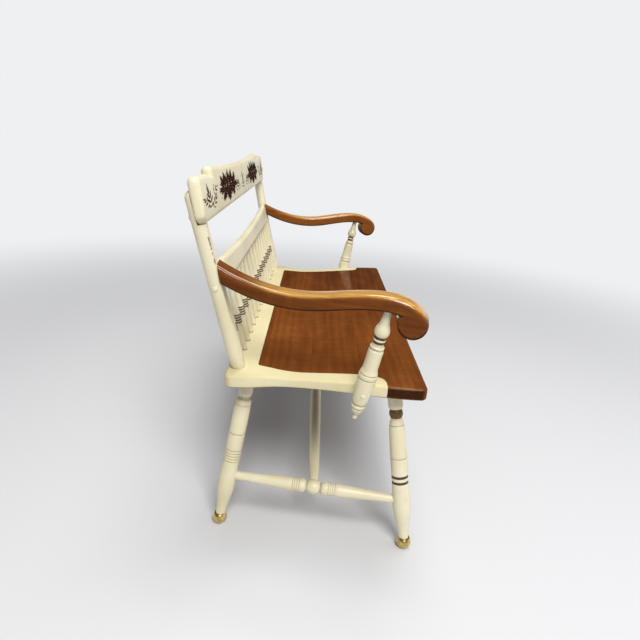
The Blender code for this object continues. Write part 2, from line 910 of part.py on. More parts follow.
def make_support(side, side_name):
    rear, along, _ = arm_frame(side)
    s = arm_scroll_at - support_behind_scroll
    top = rear + along * s
    top.z = seat_height + arm_under(s)
    low_x = side * (seat_half(support_setback) + support_stand_off)
    middle_z = (seat_top(support_setback) + seat_under(support_setback)) / 2
    low = Vector((low_x, support_setback, middle_z))
    to_seat = (low - top).length
    name = f"arm_support_{side_name}"
    support = turn(name, top, low, support_profile(to_seat), turned_steps, cream)
    grown = support_profile(to_seat, clearance)
    cut(arms[side_name], turn(f"bore_{name}", top, low, deepened(grown[:2]), turned_steps))
    housing = [pair for pair in grown if pair[0] > to_seat - 0.055]
    cut(seat, turn(f"housing_{name}", top, low, housing, turned_steps))
    return support, low


def deepened(profile):
    return [(profile[0][0] - clearance, profile[0][1])] + profile[1:]


supports = {name: make_support(side, name) for name, side in sides.items()}


# A wood screw in its counterbore, under a domed wood button
def fasten(label, outside, inward, to_joint, targets):
    sunk = button_seat_depth + clearance
    head_end = sunk + screw_head_height
    tip = to_joint + screw_bite
    inner = outside + inward
    turn(
        f"screw_{label}",
        outside,
        inner,
        [
            (sunk + 0.0002, screw_head_radius),
            (sunk + 0.0010, screw_head_radius),
            (head_end, screw_shank_radius),
            (tip - 0.004, screw_shank_radius),
            (tip, screw_shank_radius * 0.3),
        ],
        fastener_steps,
        steel,
    )
    turn(
        f"button_{label}",
        outside,
        inner,
        [
            (-button_crown, button_radius * 0.35),
            (-button_crown * 0.7, button_radius * 0.75),
            (-button_crown * 0.1, button_radius * 0.98),
            (0.001, button_radius),
            (button_seat_depth, button_radius),
        ],
        fastener_steps,
        cream,
    )
    bore = turn(
        f"bore_{label}",
        outside,
        inner,
        [
            (-4 * button_crown, button_radius + clearance),
            (sunk, button_radius + clearance),
            (sunk + 0.00005, screw_head_radius + clearance),
            (sunk + 0.0010 + clearance, screw_head_radius + clearance),
            (head_end + clearance, screw_shank_radius + clearance),
            (tip + clearance, screw_shank_radius + clearance),
        ],
        fastener_steps,
    )
    for target in targets:
        cut(target, bore)


def fasten_side(side, side_name):
    outward = Vector((side, 0.0, 0.0))
    support, low = supports[side_name]
    bulge = (support_ring_radius + support_waist_radius) / 2
    skin = low + outward * bulge
    fasten(f"support_{side_name}", skin, -outward, bulge + support_stand_off, (support, seat))
    rise = rail_rise + rail_button_share * rail_end_height / lean_length
    bulge = math.sqrt(post_radius ** 2 - rail_button_setback ** 2)
    skin = on_back(side * (post_half(rise) + bulge), rise, -rail_button_setback)
    to_rail = bulge + post_radius - rail_housing
    fasten(f"rail_{side_name}", skin, -outward, to_rail, (posts[side_name], mid_rail))
    rise = crest_rise + crest_button_share * crest_height / lean_length
    skin = on_back(side * post_half(rise), rise, -post_top_radius)
    to_crest = post_top_radius + crest_back
    fasten(f"crest_{side_name}", skin, front_normal, to_crest, (posts[side_name], crest_rail))


for side_name, side in sides.items():
    fasten_side(side, side_name)


# The origin lies on the floor, under the middle of the bench
def centre_on_floor():
    bpy.context.view_layer.update()
    graph = bpy.context.evaluated_depsgraph_get()
    corners = []
    for obj in bench.objects:
        if obj.type == "MESH":
            solid = obj.evaluated_get(graph)
            corners += [obj.matrix_world @ vert.co for vert in solid.data.vertices]
    front = min(corner.y for corner in corners)
    rear = max(corner.y for corner in corners)
    root.location = (0.0, -(front + rear) / 2, 0.0)


centre_on_floor()
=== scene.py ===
import bmesh
import bpy
import math
import numpy as np
from mathutils import Matrix, Vector


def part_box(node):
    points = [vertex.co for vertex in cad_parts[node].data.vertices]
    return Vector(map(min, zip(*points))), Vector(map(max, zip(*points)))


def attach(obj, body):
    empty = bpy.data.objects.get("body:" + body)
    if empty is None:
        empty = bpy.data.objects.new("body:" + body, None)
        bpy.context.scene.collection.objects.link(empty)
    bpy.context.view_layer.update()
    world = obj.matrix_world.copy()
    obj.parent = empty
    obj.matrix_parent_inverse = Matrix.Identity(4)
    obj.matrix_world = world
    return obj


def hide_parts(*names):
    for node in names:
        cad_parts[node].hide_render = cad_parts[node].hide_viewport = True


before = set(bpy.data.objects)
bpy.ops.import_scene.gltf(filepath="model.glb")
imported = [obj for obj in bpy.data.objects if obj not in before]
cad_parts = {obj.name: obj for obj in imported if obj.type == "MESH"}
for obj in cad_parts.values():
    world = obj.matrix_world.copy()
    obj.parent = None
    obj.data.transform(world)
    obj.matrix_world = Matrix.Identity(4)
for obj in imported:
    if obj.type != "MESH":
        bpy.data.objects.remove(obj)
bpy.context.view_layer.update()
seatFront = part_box("seat")[0][1]  # the bench is laid out from the seat's front edge
print("frame loaded:", len(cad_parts), "nodes")


class Wire:  # a node's output that can be used in sums
    def __init__(self, board, socket):
        self.board = board
        self.socket = socket

    def sum(self, operation, first, second=0.0):
        return self.board.node("ShaderNodeMath", {"operation": operation}, {0: first, 1: second})

    def __add__(self, other):
        return self.sum("ADD", self, other)

    def __radd__(self, other):
        return self.sum("ADD", other, self)

    def __sub__(self, other):
        return self.sum("SUBTRACT", self, other)

    def __rsub__(self, other):
        return self.sum("SUBTRACT", other, self)

    def __mul__(self, other):
        return self.sum("MULTIPLY", self, other)

    def __rmul__(self, other):
        return self.sum("MULTIPLY", other, self)

    def __truediv__(self, other):
        return self.sum("DIVIDE", self, other)

    def __rtruediv__(self, other):
        return self.sum("DIVIDE", other, self)

    def __mod__(self, other):
        return self.sum("FLOORED_MODULO", self, other)

    def __rmod__(self, other):
        return self.sum("FLOORED_MODULO", other, self)

    def floor(self):
        return self.sum("FLOOR", self)


class Board:  # a node tree and the ways of adding to it
    def __init__(self, tree):
        self.tree = tree

    def node(self, kind, settings=None, values=None, out=0):
        made = self.tree.nodes.new(kind)
        for key, value in (settings or {}).items():
            if key == "stops":
                while len(made.color_ramp.elements) < len(value):
                    made.color_ramp.elements.new(1.0)
                for stop, (at, color) in zip(made.color_ramp.elements, value):
                    stop.position = at
                    stop.color = (*color, 1.0)
            else:
                setattr(made, key, value)
        self.dial(made, values or {})
        return Wire(self, made.outputs[out])

    def dial(self, made, values):
        for key, value in values.items():
            if isinstance(value, Wire):
                self.tree.links.new(value.socket, made.inputs[key])
            else:
                made.inputs[key].default_value = value

    def mix(self, share, first, second, blend="MIX"):
        settings = {"data_type": "RGBA", "blend_type": blend}
        return self.node("ShaderNodeMix", settings, {0: share, 6: color4(first), 7: color4(second)}, 2)

    def noise(self, coords, scale, detail=3.0, roughness=0.5, distortion=0.0):
        values = {"Vector": coords, "Scale": scale, "Detail": detail, "Roughness": roughness}
        return self.node("ShaderNodeTexNoise", None, {**values, "Distortion": distortion})

    def between(self, value, low, high, first=0.0, last=1.0):
        values = {"Value": value, "From Min": low, "From Max": high, "To Min": first, "To Max": last}
        return self.node("ShaderNodeMapRange", {"interpolation_type": "SMOOTHSTEP"}, values)

    def stretched(self, coords, scale, turn=0.0):
        if turn:  # turned before it is drawn out, so that the grain turns too
            coords = self.node("ShaderNodeMapping", None, {"Vector": coords, "Rotation": (0.0, 0.0, turn)})
        return self.node("ShaderNodeMapping", None, {"Vector": coords, "Scale": scale})

    def streaks(self, coords, scale, turn, *looks):
        return self.noise(self.stretched(coords, scale, turn), 1.0, *looks)

    def axis(self, coords, number):
        return self.node("ShaderNodeSeparateXYZ", None, {0: coords}, number)

    def vector(self, x=0.0, y=0.0, z=0.0):
        return self.node("ShaderNodeCombineXYZ", None, {0: x, 1: y, 2: z})

    def moved(self, coords, by):
        return self.node("ShaderNodeVectorMath", {"operation": "ADD"}, {0: coords, 1: by})

    def mark(self, name):  # a number that the mesh carries
        return self.node("ShaderNodeAttribute", {"attribute_name": name}, None, 2)

    def seenBy(self):  # the camera, and gloss
        return [self.node("ShaderNodeLightPath", None, None, out) for out in (0, 3)]


def color4(value):
    return value if isinstance(value, Wire) else (*value, 1.0)


def newFinish(name):
    finish = bpy.data.materials.new(name)
    finish.use_nodes = True
    board = Board(finish.node_tree)
    shader = finish.node_tree.nodes["Principled BSDF"]
    return finish, shader, board, board.node("ShaderNodeTexCoord", None, None, 3)


def dress(board, shader, height, bump, values):
    relief = {"Height": height, "Strength": bump[0], "Distance": bump[1]}
    board.dial(shader, {**values, "Normal": board.node("ShaderNodeBump", None, relief)})


creamPaint = dict(
    light=(0.81, 0.746, 0.528),
    deep=(0.725, 0.64, 0.405),
    seat=(0.59, 0.505, 0.245),
    soil=(0.42, 0.33, 0.19),
    # dirt and painted shade in grooves, hollows and joints
    grime=(0.26, 0.19, 0.1),
    band=(0.058, 0.027, 0.011),
    bronze=(0.17, 0.098, 0.038),
    wood=(0.3, 0.17, 0.08),
    scuff=(0.15, 0.105, 0.045),
    turnedBrush=(9.0, 9.0, 150.0),  # how the brush marks are drawn out
    boardBrush=(5.0, 95.0, 95.0),
    seatBrush=(5.0, 70.0, 70.0),
    coat=0.12,
    coatRoughness=0.25,
    bump=(0.16, 0.0006),  # strength and depth
)


def creamLayers(board, coords, brush):
    p = creamPaint
    tone = board.noise(coords, 6.0, 3.0, 0.55)
    strokes = board.streaks(coords, brush, 0.0, 4.0, 0.6)
    color = board.mix(board.between(tone, 0.3, 0.75), p["light"], p["deep"])
    color = board.mix(board.between(strokes, 0.35, 0.75) * 0.16, color, p["deep"])
    soiled = board.between(board.noise(coords, 21.0, 5.0, 0.6), 0.6, 0.78)
    color = board.mix(soiled * 0.2, color, p["soil"])
    rough = 0.3 + 0.16 * board.noise(coords, 34.0) + 0.06 * strokes
    height = 0.6 * strokes + 0.4 * board.noise(coords, 300.0, 2.0)
    return color, rough, height


def wornLayers(board, coords, color, rough):
    p = creamPaint
    flecks = board.noise(coords, 95.0, 3.0, 0.65)
    # dirt with painted shade, darkening the grooves, joints and hollows that the mesh marks
    dirtAndShade = board.mark("grime") * board.between(flecks, 0.25, 0.65, 0.45, 0.95)
    color = board.mix(dirtAndShade * 0.75, color, p["grime"])
    chipped = board.mark("edge") * board.between(flecks, 0.66, 0.7)
    color = board.mix(chipped * 0.55, color, p["wood"])
    wander = (flecks - 0.5) * 0.5
    scuffed = board.between(board.mark("scuff") * 0.6 + 1.6 * wander, 0.5, 0.62)
    color = board.mix(scuffed * 0.85, color, p["scuff"])
    band = board.between(board.mark("band") + wander, 0.35, 0.65)
    color = board.mix(band, color, p["band"])
    bronze = board.between(board.mark("bronze") + wander, 0.35, 0.65)
    shimmer = board.between(board.noise(coords, 420.0, 2.0), 0.35, 0.7)
    color = board.mix(bronze, color, board.mix(shimmer * 0.6, p["bronze"], p["band"]))
    rough = rough + 0.14 * chipped + 0.06 * band
    return color, rough, bronze * 0.8


def paintFinish(name, brush):
    finish, shader, board, coords = newFinish(name)
    color, rough, height = creamLayers(board, coords, brush)
    color, rough, metal = wornLayers(board, coords, color, rough)
    values = {"Base Color": color, "Roughness": rough, "Metallic": metal}
    values.update({"Coat Weight": creamPaint["coat"], "Coat Roughness": creamPaint["coatRoughness"]})
    dress(board, shader, height, creamPaint["bump"], values)
    return finish


mapleStain = dict(
    dark=(0.07, 0.018, 0.004),
    low=(0.118, 0.033, 0.0068),
    middle=(0.178, 0.053, 0.0105),
    light=(0.28, 0.098, 0.019),
    # painted shade that darkens the arms' sides
    paintedShade=(0.84, 0.77, 0.66),
    gold=(0.8, 0.46, 0.12),
    pore=(0.026, 0.009, 0.003),
    tones=[(0.24, "dark"), (0.4, "low"), (0.56, "middle"), (0.8, "light")],
    seatPale=-0.085,  # moves the board's tone along the stain's colours
    seatFarShade=-0.16,  # painted shade: the tone falls further for each metre towards the bench's right end
    seatBoard=0.118,  # width of the boards that the seat is glued up from
    coat=0.32,
    sideCoat=0.15,
    topCoat=0.85,  # hands have polished the arms' tops
    coatRoughness=0.1,
    specular=0.0,  # the gloss is all in the coat
    armBump=(0.1, 0.0005),
    seatBump=(0.12, 0.0005),
)


def stainLayers(board, coords, turn, pale, boardWidth=None):
    random, wood = 0.5, coords
    if boardWidth:  # edge-glued boards, each cut from another part of the tree
        number = (board.axis(coords, 1) / boardWidth).floor()
        random = board.node("ShaderNodeTexWhiteNoise", {"noise_dimensions": "1D"}, {"W": number + 0.37})
        wood = board.moved(coords, board.vector(number * 3.7, number * 0.13, random))
        # painted shade, darker towards the right end
        pale = pale + mapleStain["seatFarShade"] * board.axis(coords, 0)
    grain = board.stretched(wood, (1.0, 9.0, 9.0), turn)
    sway = board.noise(grain, 1.6, 3.0, 0.55, 0.4)
    rings = board.node(
        "ShaderNodeTexWave",
        {"wave_type": "BANDS", "bands_direction": "Y", "wave_profile": "SIN"},
        {"Vector": grain, "Scale": 1.3, "Distortion": 9.0, "Detail": 3.0, "Detail Scale": 1.1},
    )
    pores = board.streaks(wood, (14.0, 420.0, 420.0), turn, 3.0, 0.65)
    blotch = board.streaks(wood, (5.0, 8.0, 8.0), turn, 4.0, 0.6, 0.6)
    curl = board.streaks(wood, (60.0, 7.0, 7.0), turn, 2.0, 0.5, 0.3)
    tone = 0.46 * blotch + 0.32 * sway + 0.07 * rings + 0.12 * curl + 0.08 * random + pale
    stops = [(at, mapleStain[key]) for at, key in mapleStain["tones"]]
    color = board.node("ShaderNodeValToRGB", {"stops": stops}, {0: tone})
    pored = board.between(pores, 0.58, 0.76) * 0.28
    color = board.mix(pored, color, mapleStain["pore"])
    rough = 0.24 + 0.14 * blotch + 0.1 * pored
    height = 0.75 * (1.0 - pored) + 0.25 * sway
    return color, rough, height


def varnish(board, shader, color, rough, height, bump, coat):
    values = {"Base Color": color, "Roughness": rough, "Coat Weight": coat}
    values["Specular IOR Level"] = mapleStain["specular"]
    values["Coat Roughness"] = mapleStain["coatRoughness"]
    dress(board, shader, height, bump, values)


def armFinish(name, turn, pale):
    p = mapleStain
    finish, shader, board, coords = newFinish(name)
    color, rough, height = stainLayers(board, coords, turn, pale)
    rub = board.mark("edge") * board.between(board.noise(coords, 40.0, 4.0), 0.42, 0.62)
    color = board.mix(rub * 0.35, color, p["light"])
    rubbed = board.streaks(coords, (7.0, 150.0, 150.0), turn)
    # the tops worn to gold, with a painted highlight on faces turned upwards
    worn = board.mark("handWorn") * board.between(rubbed, 0.3, 0.65, 0.62, 1.0)
    color = board.mix(worn * 0.68, color, p["gold"])
    figure = board.streaks(coords, (4.0, 95.0, 95.0), turn, 4.0, 0.6)
    color = board.mix(board.between(figure, 0.48, 0.72) * 0.4, color, p["dark"])
    color = board.mix(board.between(figure, 0.46, 0.28) * 0.42, color, p["light"])
    # painted shade: the arm's sides and lower faces darkened by the way they face
    color = board.mix(board.mark("lowSide"), color, p["paintedShade"], "MULTIPLY")
    # painted shade along the arm's lower edge, in the colour of the pores
    color = board.mix(board.mark("underEdge") * 0.85, color, p["pore"])
    coat = p["sideCoat"] + p["topCoat"] * board.mark("polish")
    varnish(board, shader, color, rough, height, p["armBump"], coat)
    return finish


def seatFinish(name):
    p = mapleStain
    finish, shader, board, coords = newFinish(name)
    brown, brownRough, brownHeight = stainLayers(board, coords, 0.0, p["seatPale"], p["seatBoard"])
    cream, creamRough, creamHeight = creamLayers(board, coords, creamPaint["seatBrush"])
    cream, creamRough, _ = wornLayers(board, coords, cream, creamRough)
    wander = (board.noise(coords, 60.0) - 0.5) * 0.0009
    stained = board.between(board.mark("stainEdge") + wander, -0.0004, 0.0004)
    under, endGrain = board.mark("underside"), board.mark("endGrain")
    scuffs = board.between(board.streaks(coords, (9.0, 30.0, 9.0), 0.0, 5.0, 0.7), 0.6, 0.72)
    # the plank's edge faces darker: more stain in the end grain, with painted shade
    brown = board.mix(endGrain * 0.9, brown, p["pore"])
    cream = board.mix(0.5 - 0.3 * endGrain, cream, creamPaint["seat"])
    color = board.mix(under * 0.55, board.mix(stained, cream, brown), p["pore"])
    glaze = brownRough + 0.1 * scuffs + 0.35 * under + 0.25 * endGrain
    rough = creamRough + stained * (glaze - creamRough)
    height = creamHeight + stained * (brownHeight - creamHeight)
    glossy = stained * (1.0 - under) * (1.0 - 0.8 * endGrain)
    varnish(board, shader, color, rough, height, p["seatBump"], glossy * p["coat"] + 0.03)
    return finish


brassFoot = dict(
    bright=(0.79, 0.61, 0.235),
    dull=(0.47, 0.33, 0.11),
    spot=(0.2, 0.12, 0.045),
    latheLines=(40.0, 40.0, 900.0),
    bump=(0.05, 0.0002),
)


def brassFinish(name):
    p = brassFoot
    finish, shader, board, coords = newFinish(name)
    cloud = board.noise(coords, 55.0, 5.0, 0.6)
    spots = board.between(board.noise(coords, 260.0, 4.0, 0.7), 0.6, 0.72)
    color = board.mix(board.between(cloud, 0.35, 0.75), p["bright"], p["dull"])
    color = board.mix(spots * 0.55, color, p["spot"])
    # brass darkened in its grooves: tarnish with painted shade
    color = board.mix(board.mark("grime") * 0.7, color, p["spot"])
    rough = 0.22 + 0.16 * cloud + 0.2 * spots
    lines = board.streaks(coords, p["latheLines"], 0.0, 2.0)
    dress(board, shader, lines, p["bump"], {"Base Color": color, "Roughness": rough, "Metallic": 1.0})
    return finish


screwSteel = dict(
    first=(0.56, 0.56, 0.57),
    second=(0.33, 0.31, 0.29),
    stretch=(300.0, 300.0, 300.0),
    metal=1.0,
)
birchDowel = dict(
    first=(0.62, 0.45, 0.26),
    second=(0.43, 0.28, 0.14),
    stretch=(120.0, 14.0, 120.0),
    metal=0.0,
)


def hiddenFinish(name, first, second, stretch, metal):
    finish, shader, board, coords = newFinish(name)
    streak = board.streaks(coords, stretch, 0.0, 4.0, 0.6)
    color = board.mix(board.between(streak, 0.3, 0.7), first, second)
    values = {"Base Color": color, "Roughness": 0.3 + 0.25 * streak, "Metallic": metal}
    dress(board, shader, streak, (0.15, 0.0002), values)
    return finish


stencilPaint = dict(
    dark=(0.04, 0.017, 0.011),
    rubbed=(0.13, 0.075, 0.038),
    bare=(0.64, 0.55, 0.35),
    specular=0.0,
    bump=(0.05, 0.0001),
)


def stencilFinish(name):
    p = stencilPaint
    finish, shader, board, coords = newFinish(name)
    grainy = board.noise(coords, 620.0, 3.0, 0.6)
    cloud = board.noise(coords, 42.0)
    color = board.mix(board.between(cloud, 0.45, 0.75) * 0.6, p["dark"], p["rubbed"])
    faded = board.between(grainy + 0.35 * cloud + 0.35 * board.mark("fade"), 0.9, 1.06)
    color = board.mix(faded * 0.8, color, p["bare"])
    values = {"Base Color": color, "Roughness": 0.5 + 0.12 * cloud, "Specular IOR Level": p["specular"]}
    dress(board, shader, grainy, p["bump"], values)
    return finish


finishes = dict(
    turned=paintFinish("creamTurned", creamPaint["turnedBrush"]),
    boards=paintFinish("creamBoards", creamPaint["boardBrush"]),
    seat=seatFinish("seatStainAndCream"),
    brass=brassFinish("brassFeet"),
    steel=hiddenFinish("screwSteel", **screwSteel),
    birch=hiddenFinish("birchDowel", **birchDowel),
    stencil=stencilFinish("stencilPaint"),
)
print("finishes mixed:", len(finishes))


def newTree(name, sizes):  # the geometry comes first and the finish last
    tree = bpy.data.node_groups.new(name, "GeometryNodeTree")
    tree.interface.new_socket("Geometry", in_out="OUTPUT", socket_type="NodeSocketGeometry")
    inputs = {"Geometry": "Geometry", **sizes, "Finish": "Material"}
    for label, kind in inputs.items():
        tree.interface.new_socket(label, in_out="INPUT", socket_type="NodeSocket" + kind)
    board = Board(tree)
    source = tree.nodes.new("NodeGroupInput")
    return board, {label: Wire(board, source.outputs[label]) for label in inputs}


def closeTree(board, given, shape):
    real = board.node("GeometryNodeRealizeInstances", None, {"Geometry": shape})
    values = {"Geometry": real, "Material": given["Finish"]}
    sink = board.tree.nodes.new("NodeGroupOutput")
    board.dial(sink, {0: board.node("GeometryNodeSetMaterial", None, values)})
    return board.tree


def stand(name, data):
    made = bpy.data.objects.new(name, data)
    bpy.context.scene.collection.objects.link(made)
    return made


def growMesh(name, start, tree, finish, sizes):
    holder = stand(name, start)
    grower = holder.modifiers.new(tree.name, "NODES")
    grower.node_group = tree
    given = {**sizes, "Finish": finishes[finish]}
    for item in tree.interface.items_tree:
        if item.in_out == "INPUT" and item.name in given:
            grower[item.identifier] = given[item.name]
    graph = bpy.context.evaluated_depsgraph_get()
    ready = holder.evaluated_get(graph)
    made = bpy.data.meshes.new_from_object(ready, preserve_all_data_layers=True, depsgraph=graph)
    bpy.data.objects.remove(holder)
    made.name = name
    return made


def opened(mesh):
    shape = bmesh.new()
    shape.from_mesh(mesh)
    return shape


def settle(shape, mesh):  # every face outwards, and smooth
    bmesh.ops.recalc_face_normals(shape, faces=shape.faces)
    shape.to_mesh(mesh)
    shape.free()
    mesh.shade_smooth()
    return mesh


def carryMark(mesh, name, values):
    layer = mesh.attributes.new(name, "FLOAT", "POINT")
    layer.data.foreach_set("value", np.array(values, dtype=np.float32))


def finishPiece(name, mesh, nodes, slot, finish):
    mesh.materials.clear()
    mesh.materials.append(finish)
    piece = stand(name, mesh)
    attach(piece, "root")
    if nodes:
        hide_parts(*nodes)
    print("made", name, len(mesh.polygons), "faces")


def spot(x, y, z):
    return Vector((x, seatFront + y, z))


def ease(t):
    return 0.5 - 0.5 * math.cos(math.pi * min(max(t, 0.0), 1.0))


up = Vector((0.0, 0.0, 1.0))
turning = dict(
    core=0.001,  # radius of the rim that a profile is swept round
    weld=0.000001,
    sides=48,
    ringGap=0.0035,
    ringsLeast=2,
    ringsMost=12,
    ringsApart=0.0001,
    bandEdge=0.0002,
    hollowReach=0.0045,  # a ring that lies lower than those around it holds dirt and painted shade
    hollowSamples=9,
    hollowFrom=0.0001,
    hollowOver=0.0007,
)


def addLathe(board, profile, sides):
    curve = board.node("GeometryNodeMeshToCurve", None, {"Mesh": profile})
    values = {"Resolution": sides, "Radius": turning["core"]}
    rim = board.node("GeometryNodeCurvePrimitiveCircle", None, values)
    skin = board.node("GeometryNodeCurveToMesh", None, {"Curve": rim, "Profile Curve": curve})
    return board.node("GeometryNodeMergeByDistance", None, {"Geometry": skin, "Distance": turning["weld"]})


def latheTree():
    board, given = newTree("turnedPiece", {"Sides": "Int"})
    return closeTree(board, given, addLathe(board, given["Geometry"], given["Sides"]))


def slopes(at, radius):  # gentle at every turn, so that a curve never swings past its points
    rise = np.diff(radius) / np.diff(at)
    slope = np.zeros(len(at))
    for i in range(1, len(at) - 1):
        if rise[i - 1] * rise[i] > 0:
            slope[i] = 2.0 * rise[i - 1] * rise[i] / (rise[i - 1] + rise[i])
    slope[0] = rise[0]
    slope[-1] = rise[-1]
    return slope


def smoothProfile(points, marks):
    p = turning
    at, radius = np.array(points).T
    slope = slopes(at, radius)
    stops = set()
    for low, high in zip(at[:-1], at[1:]):
        count = min(max(math.ceil((high - low) / p["ringGap"]), p["ringsLeast"]), p["ringsMost"])
        stops.update(low + (high - low) * i / count for i in range(count + 1))
    for span in sum(marks.values(), []):
        for edge in span:
            stops.update((edge - p["bandEdge"], edge + p["bandEdge"]))
    kept = []
    for stop in sorted(stops):
        if at[0] <= stop <= at[-1] and (not kept or stop - kept[-1] > p["ringsApart"]):
            kept.append(stop)
    rings = []
    for stop in kept:
        i = min(int(np.searchsorted(at, stop, side="right")) - 1, len(at) - 2)
        span = at[i + 1] - at[i]
        t = (stop - at[i]) / span
        value = (1 + 2 * t) * (1 - t) ** 2 * radius[i] + t * t * (3 - 2 * t) * radius[i + 1]
        value += span * (t * (1 - t) ** 2 * slope[i] - t * t * (1 - t) * slope[i + 1])
        rings.append((stop, value))
    return rings


def ringMarks(rings, marks):
    p = turning
    at, radius = np.array(rings).T
    found = {name: np.zeros(len(at)) for name in ("band", "bronze", "grime")}
    for name, spans in marks.items():
        for low, high in spans:
            found[name] = np.maximum(found[name], ((at > low) & (at < high)).astype(float))
    for i, stop in enumerate(at):
        near = np.abs(at - stop) < p["hollowReach"]
        window = np.linspace(stop - p["hollowReach"], stop + p["hollowReach"], p["hollowSamples"])
        around = np.interp(window, at, radius).mean()
        if near.sum() > 2:  # a ring alone on a plain part holds none
            # dirt and painted shade in the hollow, by how deep the ring lies
            dirtAndShade = min((around - radius[i] - p["hollowFrom"]) / p["hollowOver"], 1.0)
            found["grime"][i] = max(found["grime"][i], dirtAndShade)
    return found


def profileMesh(name, points, marks):
    rings = smoothProfile(points, marks)
    found = ringMarks(rings, marks)
    rings = [(rings[0][0], 0.0)] + rings + [(rings[-1][0], 0.0)]
    mesh = bpy.data.meshes.new(name)
    corners = [(radius - turning["core"], -along, 0.0) for along, radius in rings]
    mesh.from_pydata(corners, [(i, i + 1) for i in range(len(rings) - 1)], [])
    for label, values in found.items():
        carryMark(mesh, label, np.concatenate([values[:1], values, values[-1:]]))
    return mesh


turnedTree = latheTree()


def turnMesh(name, start, towards, points, marks=None, sides=turning["sides"], finish="turned"):
    made = growMesh(name, profileMesh(name, points, marks or {}), turnedTree, finish, {"Sides": sides})
    turned = (towards - start).to_track_quat("Z", "Y").to_matrix().to_4x4()
    made.transform(Matrix.Translation(start) @ turned)
    return settle(opened(made), made)


creamTurned = ("cream_paint", "turned")  # slot and finish


def turnPiece(name, start, towards, points, marks=None, sides=turning["sides"], look=creamTurned):
    slot, finish = look
    made = turnMesh(name, start, towards, points, marks, sides, finish)
    finishPiece(name + "_turned", made, [name], slot, finishes[finish])


def inMetres(table, start=0.0):  # tables of turnings are in millimetres: along the piece, radius
    return [(start + along / 1000, radius / 1000) for along, radius in table]


def spansFrom(table, start=0.0):  # painted or dirty rings, in millimetres too
    return [(start + low / 1000, start + high / 1000) for low, high in table]


def scored(at, radius, depth, half):
    foot, low = half * 0.35, radius - depth
    return [(at - half, radius), (at - foot, low), (at + foot, low), (at + half, radius)]


def mirrored(half):
    return [(-along, radius) for along, radius in reversed(half[1:])] + half


sawing = dict(
    steps=6,  # faces round an edge
    lip=0.0008,
    wornRings=(2, 3, 4, 5),
    near=0.000001,
)


def inwards(outline):
    points = np.array(outline)
    ahead = np.roll(points, -1, axis=0) - points
    ahead /= np.linalg.norm(ahead, axis=1)[:, None]
    normal = np.stack([-ahead[:, 1], ahead[:, 0]], axis=1)
    both = normal + np.roll(normal, 1, axis=0)
    both /= np.linalg.norm(both, axis=1)[:, None]
    lean = np.clip((both * normal).sum(axis=1), 0.5, 1.0)
    return points, both / lean[:, None]


def sawnBoard(outline, halves, rounds, steps=sawing["steps"]):
    points, inward = inwards(outline)  # anticlockwise, with a half width and a rounding at each point
    count = len(points)
    halves = np.broadcast_to(halves, count)
    rounds = np.broadcast_to(rounds, count)
    turns = [0.5 * math.pi * i / steps for i in range(steps + 1)]
    levels = [(rounds + sawing["lip"], halves)]
    levels += [(rounds * (1 - math.sin(t)), halves - rounds * (1 - math.cos(t))) for t in turns]
    levels += [(inset, -height) for inset, height in reversed(levels)]
    shape = bmesh.new()
    edge = shape.verts.layers.float.new("edge")
    rings = []
    for number, (inset, height) in enumerate(levels):
        rings.append([])
        worn = min(number, len(levels) - 1 - number) in sawing["wornRings"]
        for (a, b), c in zip(points + inward * inset[:, None], height):
            corner = shape.verts.new((a, b, c))
            corner[edge] = float(worn)
            rings[-1].append(corner)
    for upper, lower in zip(rings[:-1], rings[1:]):
        for i in range(count):
            j = (i + 1) % count
            shape.faces.new((upper[i], lower[i], lower[j], upper[j]))
    shape.faces.new(rings[0])
    shape.faces.new(list(reversed(rings[-1])))
    return shape


def slit(shape, at, normal, **how):
    everything = shape.verts[:] + shape.edges[:] + shape.faces[:]
    bmesh.ops.bisect_plane(shape, geom=everything, plane_co=at, plane_no=normal, **how)


def sliceBoard(shape, axis, stops):
    normal = Vector([float(i == axis) for i in range(3)])
    for stop in stops:
        slit(shape, normal * stop, normal, dist=sawing["near"])


def boardMesh(name, shape, place):
    for corner in shape.verts:
        corner.co = place(corner.co)
    return settle(shape, bpy.data.meshes.new(name))


def arc(cx, cy, radius, first, last, steps):
    turns = [math.radians(first + (last - first) * i / steps) for i in range(steps + 1)]
    return [(cx + radius * math.cos(a), cy + radius * math.sin(a)) for a in turns]


seatPlank = dict(
    height=0.445,
    depth=0.465,
    thickness=0.03,
    frontWidth=1.121,
    waistWidth=1.032,
    rearWidth=1.056,
    waistSetback=0.333,
    rearBlend=0.09,
    fall=0.0143,
    dish=0.0075,
    dishSetback=0.308,
    dishFrontReach=0.2,
    dishRearReach=0.1,
    frontCorner=0.014,
    rearCorner=0.02,
    cornerSteps=8,
    stations=44,
    edgeRound=0.006,
    rowStep=0.009,  # the top is cut into squares that can follow the dish
    middleStep=0.044,
    endFrom=0.44,
    endStep=0.006,
    underMargin=0.002,
    endReach=0.003,  # where the end grain shows; these edge faces get darker stain and painted shade
    endFade=1.6,
)
stainField = dict(  # half of the brown field, from the middle of its rear edge round its end
    rear=0.394,
    rearCorner=(0.457, 0.394),
    end=[(0.461, 0.389), (0.47, 0.34), (0.478, 0.292), (0.483, 0.22), (0.491, 0.154), (0.5, 0.118)],
    turn=[(0.506, 0.104), (0.512, 0.098), (0.52, 0.094), (0.531, 0.0915), (0.545, 0.091), (0.64, 0.091)],
    inside=0.004,  # the underside counts as this far inside the field
)


def seatHalf(y):
    p = seatPlank
    if y < p["waistSetback"]:
        return (p["frontWidth"] + (p["waistWidth"] - p["frontWidth"]) * ease(y / p["waistSetback"])) / 2
    blend = ease((y - p["waistSetback"]) / p["rearBlend"])
    return (p["waistWidth"] + (p["rearWidth"] - p["waistWidth"]) * blend) / 2


